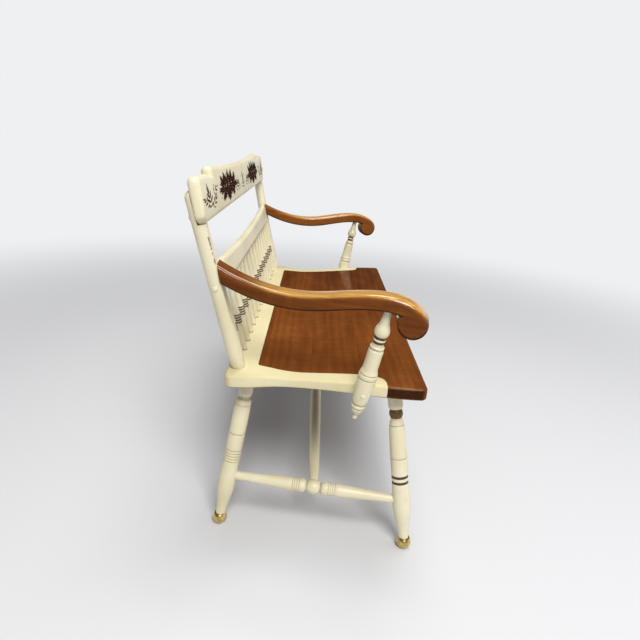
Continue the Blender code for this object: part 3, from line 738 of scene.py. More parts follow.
def seatHollow(y):
    reach = seatPlank["dishRearReach"] if y > seatPlank["dishSetback"] else seatPlank["dishFrontReach"]
    return seatPlank["dish"] * ease(1.0 - abs(y - seatPlank["dishSetback"]) / reach)


def seatSlope(y):
    return -seatPlank["fall"] * y / seatPlank["depth"]


def seatTop(y):
    return seatPlank["height"] + seatSlope(y) - seatHollow(y)


def seatUnder(y):
    return seatPlank["height"] + seatSlope(y) - seatPlank["thickness"]


def seatOutline():
    p = seatPlank
    front, rear, steps = p["frontCorner"], p["rearCorner"], p["cornerSteps"]
    rearY = p["depth"] - rear
    right = arc(seatHalf(front) - front, front, front, -90.0, 0.0, steps)
    for i in range(1, p["stations"]):
        y = front + (rearY - front) * i / p["stations"]
        right.append((seatHalf(y), y))
    right += arc(seatHalf(rearY) - rear, rearY, rear, 0.0, 90.0, steps)
    return right + [(-x, y) for x, y in reversed(right)]


def fieldDistance(points):  # from the field's edge, positive inside
    p = stainField
    path = np.array([(0.0, p["rear"]), p["rearCorner"]] + p["end"] + p["turn"])
    best = np.full(len(points), 1.0)
    for start, span in zip(path[:-1], path[1:] - path[:-1]):
        along = np.clip(((points - start) @ span) / (span @ span), 0.0, 1.0)
        best = np.minimum(best, np.linalg.norm(points - start - along[:, None] * span, axis=1))
    ends = path[2:]
    order = np.argsort(ends[:, 1])
    limit = np.interp(points[:, 1], ends[order, 1], ends[order, 0], left=9.0)
    inside = (points[:, 0] < limit) & (points[:, 1] < p["rear"])
    inside |= points[:, 1] < p["turn"][-1][1]
    return np.where(inside, best, -best)


def makeSeat():
    p = seatPlank
    shape = sawnBoard(seatOutline(), p["thickness"] / 2, p["edgeRound"])
    cuts = [p["endFrom"] + p["endStep"] * i for i in range(20)] + [p["middleStep"] * i for i in range(10)]
    sliceBoard(shape, 1, [p["rowStep"] * i for i in range(1, 51)])
    sliceBoard(shape, 0, sorted({-x for x in cuts} | set(cuts)))
    x, y, z = np.array([corner.co for corner in shape.verts]).T
    low = z < -p["thickness"] / 2 + p["underMargin"]
    limit = np.array([seatHalf(at) for at in y]) - np.abs(x)
    height = np.abs(z) - (p["thickness"] / 2 - p["edgeRound"])
    ending = np.clip(1.0 - limit / p["endReach"], 0.0, 1.0)
    ending = ending * np.clip(1.0 - height / p["edgeRound"] * p["endFade"], 0.0, 1.0)
    distance = np.where(low, stainField["inside"], fieldDistance(np.stack([np.abs(x), y], axis=1)))

    def place(co):
        share = co.z / p["thickness"] + 0.5
        rise = p["height"] - p["thickness"] / 2 + co.z + seatSlope(co.y) - seatHollow(co.y) * share
        return spot(co.x, co.y, rise)

    mesh = boardMesh("seat", shape, place)
    for label, values in (("stainEdge", distance), ("underside", low), ("endGrain", ending)):
        carryMark(mesh, label, values)
    finishPiece("seat_plank", mesh, ["seat"], "stained_maple", finishes["seat"])


makeSeat()

sides = {"left": -1, "right": 1}
legSet = dict(
    front=dict(
        inset=0.083,
        setback=0.063,
        out=0.0836,
        ahead=0.0616,
        half=seatPlank["frontWidth"] / 2,
        neck=0.0184,
        scores=[0.0, 0.088, 0.372],  # shares of the way from the lowest line to the ring
        banded=2,  # how many of these are wide, with a painted band
        top=[  # from the ring's lower edge
            (-40, 19.7), (-32, 19.4), (-26, 18.9), (-20.8, 18), (-19.8, 16.5), (-19, 16.5),
            (-18, 17.6), (-13, 16.7), (-9, 15.5), (-6, 14.4), (-3.6, 13.8), (-1.6, 13.6), (0, 14),
            (1.8, 15), (4.5, 16.1), (9, 16.7), (13.5, 16.3), (17, 15.4), (19, 14.4), (20.6, 14.4),
            (23, 16.2), (26.5, 17.5), (31, 18.2),
        ],
        marks=dict(bronze=[(-1.2, 21.2)]),
    ),
    rear=dict(
        inset=0.085,
        setback=seatPlank["depth"] - 0.0494,
        out=0.0657,
        ahead=-0.064,
        half=seatPlank["rearWidth"] / 2,
        neck=0.017,
        scores=[0.0, 0.049, 0.098, 0.148, 0.197, 0.491],
        banded=0,
        top=[
            (-22, 20.6), (-10, 20.3), (-1.2, 19.6), (-0.42, 18.6), (0.42, 18.6), (1.2, 19.6),
            (3.1, 19.4), (3.685, 18.9), (4.315, 18.9), (4.9, 19.4), (7.1, 19.4), (7.685, 18.9),
            (8.315, 18.9), (8.9, 19.4), (10.5, 19), (12.7, 17.6), (14.8, 15.8), (17.2, 13.9),
            (19, 13.6), (21, 14.1), (23.8, 15.7), (27, 16.5), (31, 17),
        ],
        # dirt and a painted shadow of the seat on the ring's groove and the neck above it
        marks=dict(grime=[(-0.8, 0.8), (14.2, 23.2)]),
    ),
    foot=[(11.3, 12.4), (30, 12.4), (46, 13.4), (72, 17.3), (100, 21.8), (125, 22.2), (158, 20.9)],
    body=0.0206,
    swell=0.0222,
    ringDrop=0.082,
    neckDrop=0.024,
    shoulderDrop=0.006,
    shoulder=0.0137,
    tenon=0.0125,
    tenonDepth=0.018,
    lowestScore=0.179,
    scoreDepth=0.0012,
    scoreHalf=0.0013,
    bandedHalf=0.0032,
    bandHalf=0.0034,
)
ballFoot = dict(radius=0.018, flat=0.0014, flatRound=0.00035, flatShare=0.85, rimRise=0.0125, steps=23)


def legPoints(row, length):
    p, own = legSet, legSet[row]
    ring = length - p["ringDrop"]
    lines = [p["lowestScore"] + (ring - p["lowestScore"]) * share for share in own["scores"]]
    points = inMetres(p["foot"])
    for number, at in enumerate(lines):
        half = p["bandedHalf"] if number < own["banded"] else p["scoreHalf"]
        points += scored(at, p["body"], p["scoreDepth"], half)
    points += inMetres(own["top"], ring)
    points += [(length - p["neckDrop"], own["neck"]), (length - p["shoulderDrop"], p["shoulder"])]
    points.append((length + p["tenonDepth"], p["tenon"]))
    marks = {label: spansFrom(spans, ring) for label, spans in own["marks"].items()}
    marks["band"] = [(at - p["bandHalf"], at + p["bandHalf"]) for at in lines[:own["banded"]]]
    return points, marks


def makeFoot(name, centre):
    p = ballFoot
    radius, low = p["radius"], p["radius"] - p["flat"]
    start = Vector((centre.x, centre.y, 0.0))
    flat = math.sqrt(radius ** 2 - low ** 2)
    points = [(0.0, flat * p["flatShare"]), (p["flatRound"], flat)]
    for i in range(1, p["steps"] + 1):
        z = -low + (low + p["rimRise"]) * i / p["steps"]
        points.append((z + low, math.sqrt(radius ** 2 - z ** 2)))
    rimAt, rim = points[-1]
    points += [(rimAt + 0.0008, rim - 0.0002), (rimAt + 0.0013, rim - 0.001)]  # a soft lip round the leg
    turnPiece(name, start, start + up, points, look=("brass", "brass"))


def makeLeg(row, sideName, side):
    p = legSet[row]
    topX = p["half"] - p["inset"]
    top = spot(side * topX, p["setback"], seatUnder(p["setback"]))
    foot = spot(side * (topX + p["out"]), p["setback"] - p["ahead"], 0.0)
    axis = (top - foot).normalized()
    points, marks = legPoints(row, (top - foot).length)
    turnPiece(f"leg_{row}_{sideName}", foot, top, points, marks)
    makeFoot(f"foot_{row}_{sideName}", foot + axis * ((ballFoot["radius"] - ballFoot["flat"]) / axis.z))
    return foot, axis


legs = {(row, name): makeLeg(row, name, side) for row in ("front", "rear") for name, side in sides.items()}

stretcher = dict(
    heights=dict(front=0.1275, rear=0.1372),
    middle=[  # half of the ball, and the cove beside it
        (0, 18.4), (1.5, 18.4), (6, 17.572), (11, 15.272), (15, 13), (17.8, 11.8), (20.3, 13.4),
        (24.3, 16), (29.8, 16.8),
    ],
    ball=0.0184,
    body=0.0168,
    bodyFall=0.0001,
    scores=4,
    scoreFrom=0.0372,
    scoreGap=0.0055,
    scoreDepth=0.0008,
    scoreHalf=0.0011,
    taper=0.0128,
    taperLength=0.075,
    end=0.0095,
    tenon=0.016,
    medial=dict(swell=0.0178, end=0.011, tenon=0.008, tenonDepth=0.012),
    sides=40,
)


def makeSideStretcher(name):
    p = stretcher
    ends = {}
    for row, height in p["heights"].items():
        foot, axis = legs[row, name]
        ends[row] = foot + axis * height
    front, rear = ends["front"], ends["rear"]
    half = (front - rear).length / 2 - (legSet["swell"] - p["tenon"])
    points = inMetres(p["middle"])
    for i in range(p["scores"]):
        at = p["scoreFrom"] + p["scoreGap"] * i
        points += scored(at, p["body"] - p["bodyFall"] * i, p["scoreDepth"], p["scoreHalf"])
    points += [(half - p["taperLength"], p["taper"]), (half, p["end"])]
    middle = (rear + front) / 2
    turnPiece(f"side_stretcher_{name}", middle, front, mirrored(points), None, p["sides"])
    return middle


def makeMedialStretcher(left, right):
    swell, end, tenon, depth = (stretcher["medial"][key] for key in ("swell", "end", "tenon", "tenonDepth"))
    half = (right - left).length / 2 - stretcher["ball"] + depth
    points = [(0.0, swell), (half * 0.25, swell - 0.0003), (half * 0.45, swell - 0.0012)]
    points += [(half * 0.75, (swell + end) / 2), (half - depth - 0.01, end)]
    points += [(half - depth + 0.0005, tenon), (half, tenon)]
    turnPiece("medial_stretcher", (left + right) / 2, right, mirrored(points), None, stretcher["sides"])


balls = [makeSideStretcher(name) for name in sides]
makeMedialStretcher(*balls)
print("legs and stretchers stand")

backPlane = dict(  # posts, rails and spindles lie on one plane that leans back
    setback=seatPlank["depth"] - 0.0275, lean=0.228, spread=0.95, splay=0.136
)
post = dict(
    rise=0.41,
    foot=0.0165,
    footHeight=0.01,
    radius=0.018,
    swell=0.0006,
    top=0.0165,
    dome=0.016,
    domeTip=0.2,
    domeSteps=7,
    tenon=0.015,
    tenonDepth=0.018,
    tenonShows=0.0035,
    flatOffset=0.0135,
    flatStart=0.05,
    flatFull=0.17,
    flatClear=0.0008,
    notchRings=[0.0008, 0.0003],  # two rings close together make the shoulder under the crest
    notchFrom=-0.0005,
    notchClear=0.0003,
    ringGap=0.01,
    rings=11,
    wornFrom=0.0075,
    wornOver=0.003,
    scuff=dict(left=1.0, right=0.0),
    scuffDepth=-0.0025,
    scuffLow=0.25,
    scuffHigh=0.345,
    scuffOver=0.02,
    sharp=28.0,
    sides=64,
)
midRail = dict(
    rise=0.19,
    endHeight=0.067,
    dip=0.018,
    thickness=0.022,
    forward=0.002,
    edgeRound=0.0095,
    housing=0.008,
    topSteps=48,
    underSteps=24,
)
crestRail = dict(
    length=1.1,
    rise=0.3425,
    height=0.1075,
    step=0.0215,
    ear=0.009,
    earSteps=16,
    shoulder=0.138,
    tabletCorner=0.012,
    dip=0.011,
    topThickness=0.026,
    bottomThickness=0.02,
    bellyHeight=0.072,
    edgeRound=0.009,
    topRound=0.0115,
    roundFrom=0.03,
    roundOver=0.06,
    lowCorner=0.022,
    highCorner=0.012,
    seat=-0.002,
    steps=24,
    rowStep=0.004,
    grimeShadeReach=0.022,  # dirt and painted shade in the lower corners, where the crest meets the posts
    grimeShadeHeight=0.014,
    grimeShadeFade=1.3,
)
leanLength = math.hypot(1.0, backPlane["lean"])
upBack = Vector((0.0, backPlane["lean"], 1.0)) / leanLength
outFront = Vector((0.0, -1.0, backPlane["lean"])) / leanLength
backFoot = spot(0.0, backPlane["setback"], seatTop(backPlane["setback"]))


def onBack(x, rise, forward=0.0):
    return backFoot + Vector((x, backPlane["lean"] * rise, rise)) + outFront * forward


def fromBack(rise, forward):  # places a board's own u, v and w on the back
    start = onBack(0.0, rise, forward)
    return lambda co: start + Vector((co.x, 0.0, 0.0)) + upBack * co.y + outFront * co.z


def postHalf(rise):
    return backPlane["spread"] / 2 + backPlane["splay"] * rise


def makeRail():
    p = midRail
    half = postHalf(p["rise"]) - post["radius"] + p["housing"]
    outline = [(-half + 2 * half * i / p["underSteps"], 0.0) for i in range(p["underSteps"] + 1)]
    for i in range(p["topSteps"] + 1):
        u = half * (1 - 2 * i / p["topSteps"])
        outline.append((u, p["endHeight"] - p["dip"] * (1 - (u / half) ** 2)))
    shape = sawnBoard(outline, p["thickness"] / 2, p["edgeRound"])
    mesh = boardMesh("mid_rail", shape, fromBack(p["rise"], p["forward"]))
    finishPiece("mid_rail_board", mesh, ["mid_rail"], "cream_paint", finishes["boards"])


def postPoints(length):
    p = post
    domeAt = length - p["dome"]
    points = [(-p["tenonDepth"], p["tenon"]), (p["tenonShows"], p["tenon"]), (p["footHeight"], p["foot"])]
    points += [(p["flatStart"], p["radius"] + p["swell"]), (length * 0.5, p["radius"]), (domeAt, p["top"])]
    for i in range(1, p["domeSteps"]):
        turned = 0.5 * math.pi * i / p["domeSteps"]
        share = p["domeTip"] + (1 - p["domeTip"]) * math.cos(turned)
        points.append((domeAt + p["dome"] * math.sin(turned), p["top"] * share))
    return points


def makePost(name, side):
    p = post
    node = f"back_post_{name}"
    foot = onBack(side * postHalf(0.0), 0.0)
    top = onBack(side * postHalf(p["rise"]), p["rise"])
    axis = (top - foot).normalized()
    sideways = axis.cross(outFront)
    made = turnMesh(node, foot, top, postPoints((top - foot).length), None, p["sides"])
    crestFoot = onBack(0.0, crestRail["rise"])
    shape = opened(made)
    edge = shape.verts.layers.float.new("edge")
    scuff = shape.verts.layers.float.new("scuff")
    for drop in p["notchRings"] + [p["ringGap"] * i for i in range(1, p["rings"] + 1)]:
        slit(shape, crestFoot - upBack * drop, upBack)
    full = p["radius"] + p["flatClear"]
    for corner in shape.verts:
        offset = corner.co - foot
        high, beside = offset.dot(axis), offset.dot(sideways)
        share = ease((high - p["flatStart"]) / (p["flatFull"] - p["flatStart"]))
        limit = full + (p["flatOffset"] - full) * share
        if (corner.co - crestFoot).dot(upBack) > p["notchFrom"]:
            limit = crestRail["seat"] - p["notchClear"]
        over = offset.dot(outFront) - limit
        if over > 0.0:  # shaved flat
            corner.co = corner.co - outFront * over
            corner[edge] = share * ease((abs(beside) - p["wornFrom"]) / p["wornOver"])
        if over > p["scuffDepth"] and beside * side > p["wornFrom"]:
            low = ease((high - p["scuffLow"]) / p["scuffOver"])
            corner[scuff] = p["scuff"][name] * low * ease((p["scuffHigh"] - high) / p["scuffOver"])
    shape.to_mesh(made)
    shape.free()
    made.set_sharp_from_angle(angle=math.radians(p["sharp"]))
    finishPiece(node + "_turned", made, [node], "cream_paint", finishes["turned"])


def crestThickness(v):
    p = crestRail
    swell = math.sin(0.5 * math.pi * min(max(v, 0.0) / p["bellyHeight"], 1.0))
    return p["bottomThickness"] + (p["topThickness"] - p["bottomThickness"]) * swell


def crestOutline():
    p = crestRail
    half, low, high, corner = p["length"] / 2, p["lowCorner"], p["highCorner"], p["tabletCorner"]
    notch = p["height"] - p["step"]
    tablet = half - p["shoulder"]
    earEnd = half - high
    reach = tablet - corner
    flat = [half * i / p["steps"] for i in range(1, p["steps"] - 2)]
    right = [(u, 0.0) for u in flat if u < half - low - 0.004]
    right += arc(half - low, low, low, -90.0, 0.0, 10)
    right += arc(earEnd, notch + p["ear"] - high, high, 0.0, 90.0, 10)
    for i in range(1, p["earSteps"] + 1):
        t = i / p["earSteps"]
        right.append((earEnd - (earEnd - tablet) * t, notch + p["ear"] * (1 - t**4)))
    right += arc(reach, p["height"] - corner, corner, 0.0, 90.0, 8)
    for i in range(1, p["steps"] + 1):
        u = reach * (1 - i / p["steps"])
        right.append((u, p["height"] - p["dip"] * (1 - (u / reach) ** 2)))
    return [(0.0, 0.0)] + right + [(-u, v) for u, v in reversed(right[:-1])]


def makeCrest():
    p = crestRail
    outline = crestOutline()
    share = np.array([ease((v - p["roundFrom"]) / p["roundOver"]) for u, v in outline])
    rounds = p["edgeRound"] + (p["topRound"] - p["edgeRound"]) * share
    shape = sawnBoard(outline, p["topThickness"] / 2, rounds)
    sliceBoard(shape, 1, [p["rowStep"] * i for i in range(1, 24)])
    put = fromBack(p["rise"], p["seat"])
    u, v, w = np.array([corner.co for corner in shape.verts]).T
    # dirt with painted shade in the lower corners by the posts
    soil = np.clip(1.0 - (np.abs(u).max() - np.abs(u)) / p["grimeShadeReach"], 0.0, 1.0)
    soil = soil * np.clip(p["grimeShadeFade"] - v / p["grimeShadeHeight"], 0.0, 1.0)

    def place(co):
        depth = (co.z + p["topThickness"] / 2) * crestThickness(co.y) / p["topThickness"]
        return put(Vector((co.x, co.y, depth)))

    mesh = boardMesh("crest_rail", shape, place)
    carryMark(mesh, "grime", soil)
    finishPiece("crest_rail_board", mesh, ["crest_rail"], "cream_paint", finishes["boards"])


makeRail()
for name, side in sides.items():
    makePost(name, side)
makeCrest()
print("posts and back boards stand")

spindleRow = dict(
    count=15,
    endGap=0.0445,
    foot=0.0064,
    belly=0.009,
    bellyHeight=0.092,
    bellyFall=0.0008,
    bellyEnd=0.01,
    top=0.0056,
    plain=0.006,  # straight part over the seat and under the rail
    swellAt=0.045,
    footSwell=0.0007,
    topSwell=0.0008,
    footTenon=0.014,
    topTenon=0.012,
    rings=4,
    ringGap=0.0066,
    ringHalf=0.0017,
    ringProud=0.0007,
    ringFoot=0.0004,
    ringTop=0.0003,
    bandOver=0.0002,
    # dirt and painted shade at the foot of each spindle, where it enters the seat
    dirtAndShade=(-0.001, 0.0042),
    sides=24,
)


def spindleTree():
    sizes = {"Sides": "Int", "Count": "Int", "First Foot": "Vector", "Foot Step": "Vector", "Fan": "Float"}
    board, given = newTree("spindleRow", {**sizes, "Rise": "Vector"})
    line = {"Count": given["Count"], "Start Location": given["First Foot"], "Offset": given["Foot Step"]}
    feet = board.node("GeometryNodeMeshLine", None, line)
    across = board.axis(board.node("GeometryNodeInputPosition"), 0)
    aim = board.moved(given["Rise"], board.vector(across * (given["Fan"] - 1.0)))
    turned = board.node("FunctionNodeAlignRotationToVector", {"axis": "Z"}, {"Vector": aim})
    one = addLathe(board, given["Geometry"], given["Sides"])
    values = {"Points": feet, "Instance": one, "Rotation": turned}
    return closeTree(board, given, board.node("GeometryNodeInstanceOnPoints", None, values))


def spindleProfile(length):
    p = spindleRow
    foot, belly, top, half = p["foot"], p["belly"], p["top"], p["ringHalf"]
    full, proud = belly - p["bellyFall"], belly + p["ringProud"]
    low = p["bellyHeight"] - (p["rings"] - 1) * p["ringGap"] / 2
    points = [(-p["footTenon"], foot), (p["plain"], foot), (p["swellAt"], foot + p["footSwell"])]
    points.append((low - p["bellyEnd"], full))
    bands = []
    for i in range(p["rings"]):
        at = low + p["ringGap"] * i
        points += [(at - half - p["ringFoot"], belly), (at - half + p["ringTop"], proud)]
        points += [(at + half - p["ringTop"], proud), (at + half + p["ringFoot"], belly)]
        bands.append((at - half - p["bandOver"], at + half + p["bandOver"]))
    points.append((low + (p["rings"] - 1) * p["ringGap"] + p["bellyEnd"], full))
    points += [(length - p["swellAt"], top + p["topSwell"]), (length - p["plain"], top)]
    points.append((length + p["topTenon"], top))
    return profileMesh("spindleProfile", points, {"band": bands, "grime": [p["dirtAndShade"]]})


def makeSpindles():
    p = spindleRow
    footSpread = postHalf(0.0) - p["endGap"]
    topSpread = postHalf(midRail["rise"]) - p["endGap"]
    rise = onBack(0.0, midRail["rise"], midRail["forward"]) - onBack(0.0, 0.0)
    step = 2 * footSpread / (p["count"] - 1)
    sizes = {"Sides": p["sides"], "Count": p["count"], "First Foot": onBack(-footSpread, 0.0)}
    sizes.update({"Foot Step": (step, 0.0, 0.0), "Fan": topSpread / footSpread, "Rise": rise})
    mesh = growMesh("spindles", spindleProfile(rise.length), spindleTree(), "turned", sizes)
    settle(opened(mesh), mesh)
    nodes = [f"spindle_{i + 1:02d}" for i in range(p["count"])]
    finishPiece("spindles_turned", mesh, nodes, "cream_paint", finishes["turned"])


makeSpindles()

armBoard = dict(  # a sawn side profile with a crowned top, rolled into a scroll
    rearRise=0.2437,
    dipRise=0.2005,
    crownRise=0.2215,
    dipAt=0.1746,
    crownAt=0.3619,
    scrollAt=0.4258,
    scrollRise=0.1655,
    scrollRadius=0.0322,
    scrollSteps=44,
    scrollBlend=14,
    notchAngle=150.0,
    rearThickness=0.0365,
    thickness=0.0345,
    crownThickness=0.0335,
    underReach=0.075,
    rearWidth=0.048,
    frontWidth=0.05,
    inset=0.01,
    rearGap=0.0003,
    overhang=0.0245,
    topRound=0.011,
    scrollRound=0.008,
    underRound=0.005,
    roundSteps=7,
    tail=0.043,
    steps=72,
    sharp=40.0,
    wornFrom=0.03,
    wornOver=0.13,
    facing=dict(  # a mark's share is (slant * upwardness + start) / span
        # wear and a painted highlight on upward faces, growing towards the front
        handWorn=(1.0, -0.3, 0.45),
        # painted shade on faces that turn sideways and down
        lowSide=(-0.9, 0.75, 1.0),
        polish=(1.0, -0.05, 0.5),
        # painted shade on faces turned downwards
        underEdge=(-1.0, -0.01, 0.3),
    ),
    pale=dict(left=0.05, right=0.21),  # a tone shift of each arm's stain; the right arm's larger shift is painted light
)


def quarterRound(share):
    return math.sqrt(max(1.0 - share ** 2, 0.0))


def armTop(s):
    p = armBoard
    if s < p["dipAt"]:
        return p["dipRise"] + (p["rearRise"] - p["dipRise"]) * (1 - s / p["dipAt"]) ** 2
    if s < p["crownAt"]:
        share = (s - p["dipAt"]) / (p["crownAt"] - p["dipAt"])
        return p["dipRise"] + (p["crownRise"] - p["dipRise"]) * ease(share)
    reach = p["scrollAt"] + p["scrollRadius"] - p["crownAt"]
    return p["scrollRise"] + (p["crownRise"] - p["scrollRise"]) * quarterRound((s - p["crownAt"]) / reach)


def armNotch():
    p = armBoard
    turned = math.radians(p["notchAngle"])
    along = p["scrollAt"] + p["scrollRadius"] * math.cos(turned)
    return along, p["scrollRise"] + p["scrollRadius"] * math.sin(turned)


def armUnder(s):
    p = armBoard
    if s < p["dipAt"]:
        share = (1 - s / p["dipAt"]) ** 2
        return armTop(s) - p["thickness"] - (p["rearThickness"] - p["thickness"]) * share
    if s < p["crownAt"]:
        share = ease((s - p["dipAt"]) / (p["crownAt"] - p["dipAt"]))
        return armTop(s) - p["thickness"] - (p["crownThickness"] - p["thickness"]) * share
    notchS, notchRise = armNotch()
    low = p["crownRise"] - p["crownThickness"]
    bend, full = (1.0 - quarterRound((at - p["crownAt"]) / p["underReach"]) for at in (s, notchS))
    return low + (notchRise - low) * bend / full


def armOutline():
    p = armBoard
    front = p["scrollAt"] + p["scrollRadius"]
    notchS = armNotch()[0]
    outline, rounds = [], []
    for i in range(p["steps"]):
        s = -p["tail"] + (front + p["tail"]) * math.sin(0.5 * math.pi * i / p["steps"])
        outline.append((s, armTop(s)))
        rounds.append(p["topRound"])
    end = p["notchAngle"] - 360.0
    roll = arc(p["scrollAt"], p["scrollRise"], p["scrollRadius"], 0.0, end, p["scrollSteps"])
    for i, point in enumerate(roll):
        outline.append(point)
        rounds.append(p["topRound"] + (p["scrollRound"] - p["topRound"]) * ease(i / p["scrollBlend"]))
    for i in range(1, p["steps"]):
        s = notchS - (notchS + p["tail"]) * i / (p["steps"] - 1)
        outline.append((s, armUnder(s)))
        rounds.append(p["underRound"])
    return outline[::-1], rounds[::-1]


def armFrame(side):
    p = armBoard
    rise = seatPlank["height"] + p["rearRise"] - p["rearThickness"] / 2 - backFoot.z
    rear = onBack(side * (postHalf(rise) - p["inset"]), rise, post["flatOffset"] + p["rearGap"])
    rear.z = seatPlank["height"]
    frontX = side * (seatPlank["frontWidth"] / 2 + p["overhang"])
    forward = math.sqrt(p["scrollAt"] ** 2 - (frontX - rear.x) ** 2)
    return rear, Vector((frontX - rear.x, -forward, 0.0)) / p["scrollAt"]


def makeArm(name, side):
    p = armBoard
    rear, along = armFrame(side)
    across = along.cross(up)
    outline, rounds = armOutline()
    reach = p["scrollAt"] + p["scrollRadius"]
    shares = np.clip(np.array([s for s, rise in outline]) / reach, 0.0, 1.0)
    halves = (p["rearWidth"] + (p["frontWidth"] - p["rearWidth"]) * shares) / 2
    shape = sawnBoard(outline, halves, np.array(rounds), p["roundSteps"])
    for corner in shape.verts:
        corner.co = rear + along * corner.co.x + up * corner.co.y + across * corner.co.z
    seated = onBack(0.0, 0.0, post["flatOffset"] + p["rearGap"])  # cut to the post's flat
    slit(shape, seated, -outFront, clear_outer=True, dist=sawing["near"])
    bmesh.ops.holes_fill(shape, edges=[edge for edge in shape.edges if edge.is_boundary], sides=0)
    mesh = settle(shape, bpy.data.meshes.new(f"arm_{name}"))
    mesh.set_sharp_from_angle(angle=math.radians(p["sharp"]))
    upwards = [normal.vector.z for normal in mesh.vertex_normals]
    ahead = [(corner.co - rear).dot(along) for corner in mesh.vertices]
    # how far forward the worn and lit tops reach
    worn = np.array([ease((at - p["wornFrom"]) / p["wornOver"]) for at in ahead])
    for label, (slant, start, span) in p["facing"].items():
        values = np.array([ease((slant * z + start) / span) for z in upwards])
        carryMark(mesh, label, values * worn if label == "handWorn" else values)
    finish = armFinish(f"armStain_{name}", -math.atan2(along.y, along.x), p["pale"][name])
    finishPiece(f"arm_{name}_board", mesh, [f"arm_{name}"], "stained_maple", finish)


for name, side in sides.items():
    makeArm(name, side)

armSupport = dict(
    behindScroll=0.0522,
    setback=0.1476,
    standOff=0.012,
    bulge=0.01935,  # radius under its button
    upper=[  # from the arm down
        (-14, 7.5), (4, 7.7), (14, 8.5), (24, 9.6), (31, 10.5), (38, 12.9), (44, 15.5),
        (50.5, 16.7), (56, 16.3), (60, 14.9), (62.8, 12.5), (64.5, 11.2), (66.5, 10.6),
        (68.5, 11.8), (70.2, 13.2), (72, 13.6), (73.8, 13), (75.2, 11.4), (77.2, 10.6), (79.4, 12),
        (81.5, 11.8), (84.5, 12.8), (86.6, 14), (88.2, 15.8), (90, 16.3), (91.8, 15.8), (93.2, 14),
        (94.8, 14), (96.2, 15.4), (99, 16.8), (106, 17),
    ],
    lower=[  # from the seat's middle down
        (-70, 17.2), (-64, 18), (-59, 19.5), (-56, 20.3), (-55.3, 20.5), (-54.455, 18.9),
        (-53.545, 18.9), (-52.7, 20.5), (-51, 21.3), (-47.5, 21.7), (-44, 21.3), (-42.7, 20.9),
        (-41.725, 19.1), (-40.675, 19.1), (-39.7, 20.9), (-37, 21.2), (-28, 21.2), (-15, 20.6),
        (0, 19.8), (12, 18.7), (19, 17.8), (25.8, 15.7), (28, 13.9), (29.6, 13.7), (31.2, 15.7),
        (33.5, 16.5), (37, 15.9), (39.2, 13.9), (40.6, 13.9), (42.4, 14.7), (45, 13.9),
        (47.4, 12.5), (48.8, 10.7), (50.2, 10.7), (51.8, 11.1), (54.5, 8.9), (56.5, 6.1),
        (59.2, 5.1), (64, 5.5), (68, 5.6), (70.5, 4.7), (72, 3),
    ],
    bands=[(63.7, 69.4), (74.8, 80.6)],
)


def makeSupport(name, side):
    p = armSupport
    rear, along = armFrame(side)
    reach = armBoard["scrollAt"] - p["behindScroll"]
    top = rear + along * reach
    top.z = seatPlank["height"] + armUnder(reach)
    middleZ = (seatTop(p["setback"]) + seatUnder(p["setback"])) / 2
    low = spot(side * (seatHalf(p["setback"]) + p["standOff"]), p["setback"], middleZ)
    points = inMetres(p["upper"]) + inMetres(p["lower"], (low - top).length)
    turnPiece(f"arm_support_{name}", top, low, points, {"band": spansFrom(p["bands"])})
    return low


supportLow = {name: makeSupport(name, side) for name, side in sides.items()}
print("arms and supports stand")

woodButton = dict(
    radius=0.0063,
    crown=0.0028,
    setback=0.001,
    railShare=0.21,  # how far up the rail and the crest
    crestShare=0.14,
    segments=28,
    rings=14,
)


def buttonTree():
    board, given = newTree("woodButtons", {"Radius": "Float", "Crown": "Float"})
    shape = {"Segments": woodButton["segments"], "Rings": woodButton["rings"], "Radius": 1.0}
    ball = board.node("GeometryNodeMeshUVSphere", None, shape)
    size = board.vector(given["Radius"], given["Radius"], given["Crown"])
    kind = {"data_type": "FLOAT_VECTOR"}
    facing = board.node("GeometryNodeInputNamedAttribute", kind, {"Name": "facing"})
    turned = board.node("FunctionNodeAlignRotationToVector", {"axis": "Z"}, {"Vector": facing})
    values = {"Points": given["Geometry"], "Instance": ball, "Rotation": turned, "Scale": size}
    return closeTree(board, given, board.node("GeometryNodeInstanceOnPoints", None, values))


def makeButtons():
    p = woodButton
    spots = []
    for name, side in sides.items():
        away = Vector((side, 0.0, 0.0))
        spots.append((supportLow[name] + away * armSupport["bulge"], away))
        rise = midRail["rise"] + p["railShare"] * midRail["endHeight"] / leanLength
        bulge = math.sqrt(post["radius"] ** 2 - p["setback"] ** 2)
        spots.append((onBack(side * (postHalf(rise) + bulge), rise, -p["setback"]), away))
        rise = crestRail["rise"] + p["crestShare"] * crestRail["height"] / leanLength
        spots.append((onBack(side * postHalf(rise), rise, -post["top"]), -outFront))
    mesh = bpy.data.meshes.new("buttonSpots")
    mesh.from_pydata([at for at, facing in spots], [], [])
    layer = mesh.attributes.new("facing", "FLOAT_VECTOR", "POINT")
    for i, (at, facing) in enumerate(spots):
        layer.data[i].vector = facing
    made = growMesh("buttons", mesh, buttonTree(), "turned", {"Radius": p["radius"], "Crown": p["crown"]})
    settle(opened(made), made)
    nodes = [f"button_{place}_{name}" for place in ("support", "rail", "crest") for name in sides]
    finishPiece("wood_buttons", made, nodes, "cream_paint", finishes["turned"])


makeButtons()

